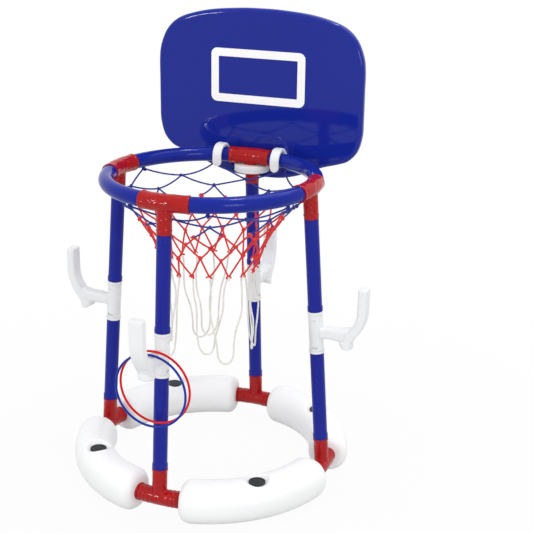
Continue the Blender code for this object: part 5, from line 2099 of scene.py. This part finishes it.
@dataclass
class TossRings(Assembly):
    """Two tossing rings that hang on the arm of the front hook."""

    radius: float = 0.0635
    section: float = 0.0020
    leg_gap: float = 0.00464
    spacing: float = 0.0160
    arm_radius: float = 0.0135
    swing_room: float = 0.1250
    steps: int = 160

    def ring(self) -> Mesh:
        """Ring that hangs below the origin, on an arm along X through the origin.

        Returns:
            The mesh.
        """
        drop = self.radius - self.section - self.arm_radius - self.layout.fit_gap
        centre = Matrix.Translation((0, 0, -drop)) @ Matrix.Rotation(QUARTER_TURN, 4, "Y")
        profile = circle(Matrix.Translation((self.radius, 0, 0)), self.section, 20)
        rings = []
        for k in range(self.steps):
            turn = Matrix.Rotation(FULL_TURN * k / self.steps, 4, "Z")
            rings.append([centre @ turn @ Vector((point.x, 0, point.y)) for point in profile])
        return skin(rings, closed=True)

    def build(self) -> None:
        """Make both rings."""
        room = math.tan(self.layout.lean) * self.swing_room
        reach = self.layout.tube_radius + self.section + self.leg_gap + room
        seat = Leg.FRONT.turn @ self.layout.coupler_frame()
        ring = self.ring()
        for name in ("red", "blue"):
            self.dress(f"hoop_ring_{name}", ring, f"ring_{name}", [f"toss_ring_{name}"],
                       body=f"ring_{name}", turn=seat @ Matrix.Translation((reach, 0, 0)))
            reach += self.spacing


@dataclass
class Studio:
    """Pale floor, soft lights, white surroundings and the camera."""

    ambient: float = 0.87
    floor_half: float = 6.0
    floor_grey: float = 0.58
    floor_glow: float = 0.95
    glow_start: float = 0.30
    glow_end: float = 1.10
    aim: Triple = (0.0, 0.0, 0.35)
    lamps: tuple[tuple[str, Triple, float, float], ...] = (
        ("key", (-1.4, -2.3, 0.95), 0.30, 14.0), ("fill", (1.8, -1.8, 1.05), 0.80, 14.5),
        ("top", (0.6, 0.7, 2.4), 1.60, 14.0), ("glint", (0.3, 0.3, 2.4), 0.25, 6.0))
    camera_place: Triple = (0.8055, -1.7775, 1.0428)
    camera_right: Triple = (0.92851, 0.37106, 0.01381)
    camera_up: Triple = (-0.13060, 0.29152, 0.94761)
    camera_ahead: Triple = (-0.34759, 0.88166, -0.31913)
    sensor: float = 36.0
    image_side: float = 533.0
    focal_pixels: float = 1155.86

    @staticmethod
    def show(name: str, data: bpy.types.ID) -> bpy.types.Object:
        """Put something in the scene.

        Args:
            name: Name of the object.
            data: Its mesh, light or camera.

        Returns:
            The object.
        """
        piece = bpy.data.objects.new(name, data)
        bpy.context.collection.objects.link(piece)
        return piece

    @staticmethod
    def seen_directly(make: Graph) -> Signal:
        """Share that is 1 for what the camera, a mirror or glass sees of the surroundings.

        Args:
            make: Tree that gets the nodes.

        Returns:
            The share.
        """
        path = make.node("ShaderNodeLightPath")
        seen = path["Is Camera Ray"].maths("MAXIMUM", path["Is Glossy Ray"])
        return seen.maths("MAXIMUM", path["Is Transmission Ray"])

    def surroundings(self) -> None:
        """White world that lights the hoop softly."""
        world = bpy.data.worlds.new("studio")
        bpy.context.scene.world = world
        world.use_nodes = True
        make = Graph(world.node_tree)
        soft, white = (make.node("ShaderNodeBackground",
                                 {"Color": (1, 1, 1, 1), "Strength": strength})[0]
                       for strength in (self.ambient, 1.0))
        mixed = make.node("ShaderNodeMixShader", {0: self.seen_directly(make), 1: soft, 2: white})
        make.node("ShaderNodeOutputWorld", {"Surface": mixed[0]})

    def floor(self) -> None:
        """Pale floor under the floats."""
        half = self.floor_half
        corners = [(-half, -half, 0), (half, -half, 0), (half, half, 0), (-half, half, 0)]
        mesh = bpy.data.meshes.new("floor")
        mesh.from_pydata(corners, [], [(0, 1, 2, 3)])
        make = Surface("floor_white")
        paint = make.node("ShaderNodeBsdfDiffuse", {"Color": (*[self.floor_grey] * 3, 1)})[0]
        white = make.node("ShaderNodeEmission", {"Color": (1, 1, 1, 1), "Strength": 1.0})[0]
        away = make.node("ShaderNodeVectorMath", {0: make.place}, operation="LENGTH")["Value"]
        far = make.ramp((away - self.glow_start) / (self.glow_end - self.glow_start), 0.0, 1.0)
        share = self.seen_directly(make) * (far * (1 - self.floor_glow) + self.floor_glow)
        mixed = make.node("ShaderNodeMixShader", {0: share, 1: paint, 2: white})[0]
        mesh.materials.append(make.end(mixed))
        self.show("floor", mesh)

    def lamp(self, name: str, place: Triple, size: float, power: float) -> None:
        """Square soft lamp that points at the hoop.

        Args:
            name: Name of the lamp.
            place: Where it stands.
            size: Its side.
            power: Its power in watts.
        """
        light = bpy.data.lights.new(name, "AREA")
        light.shape = "SQUARE"
        light.size = size
        light.energy = power
        piece = self.show(name, light)
        piece.location = place
        ahead = Vector(self.aim) - Vector(place)
        piece.rotation_euler = ahead.to_track_quat("-Z", "Y").to_euler()

    def camera(self) -> None:
        """Camera at the photo's place."""
        data = bpy.data.cameras.new("camera")
        data.sensor_width = self.sensor
        data.lens = self.sensor * self.focal_pixels / self.image_side
        piece = self.show("camera", data)
        piece.matrix_world = axes_frame(self.camera_right, self.camera_up,
                                        -Vector(self.camera_ahead), self.camera_place)
        bpy.context.scene.camera = piece

    def build(self) -> None:
        """Set up the studio."""
        bpy.context.scene.view_settings.view_transform = "Standard"
        self.surroundings()
        self.floor()
        for lamp in self.lamps:
            self.lamp(*lamp)
        self.camera()


def main() -> None:
    """Build the hoop and its studio."""
    logging.basicConfig(level=logging.INFO, format="%(message)s")
    layout = Layout()
    finishes = {look.slot: look.material() for look in FINISHES}
    for kind in (Floats, BaseTees, Legs, Rim, Backboard, Net, TossRings):
        LOG.info("building %s", kind.__name__)
        kind(layout, finishes).build()
    Studio().build()


if __name__ == "__main__":
    main()
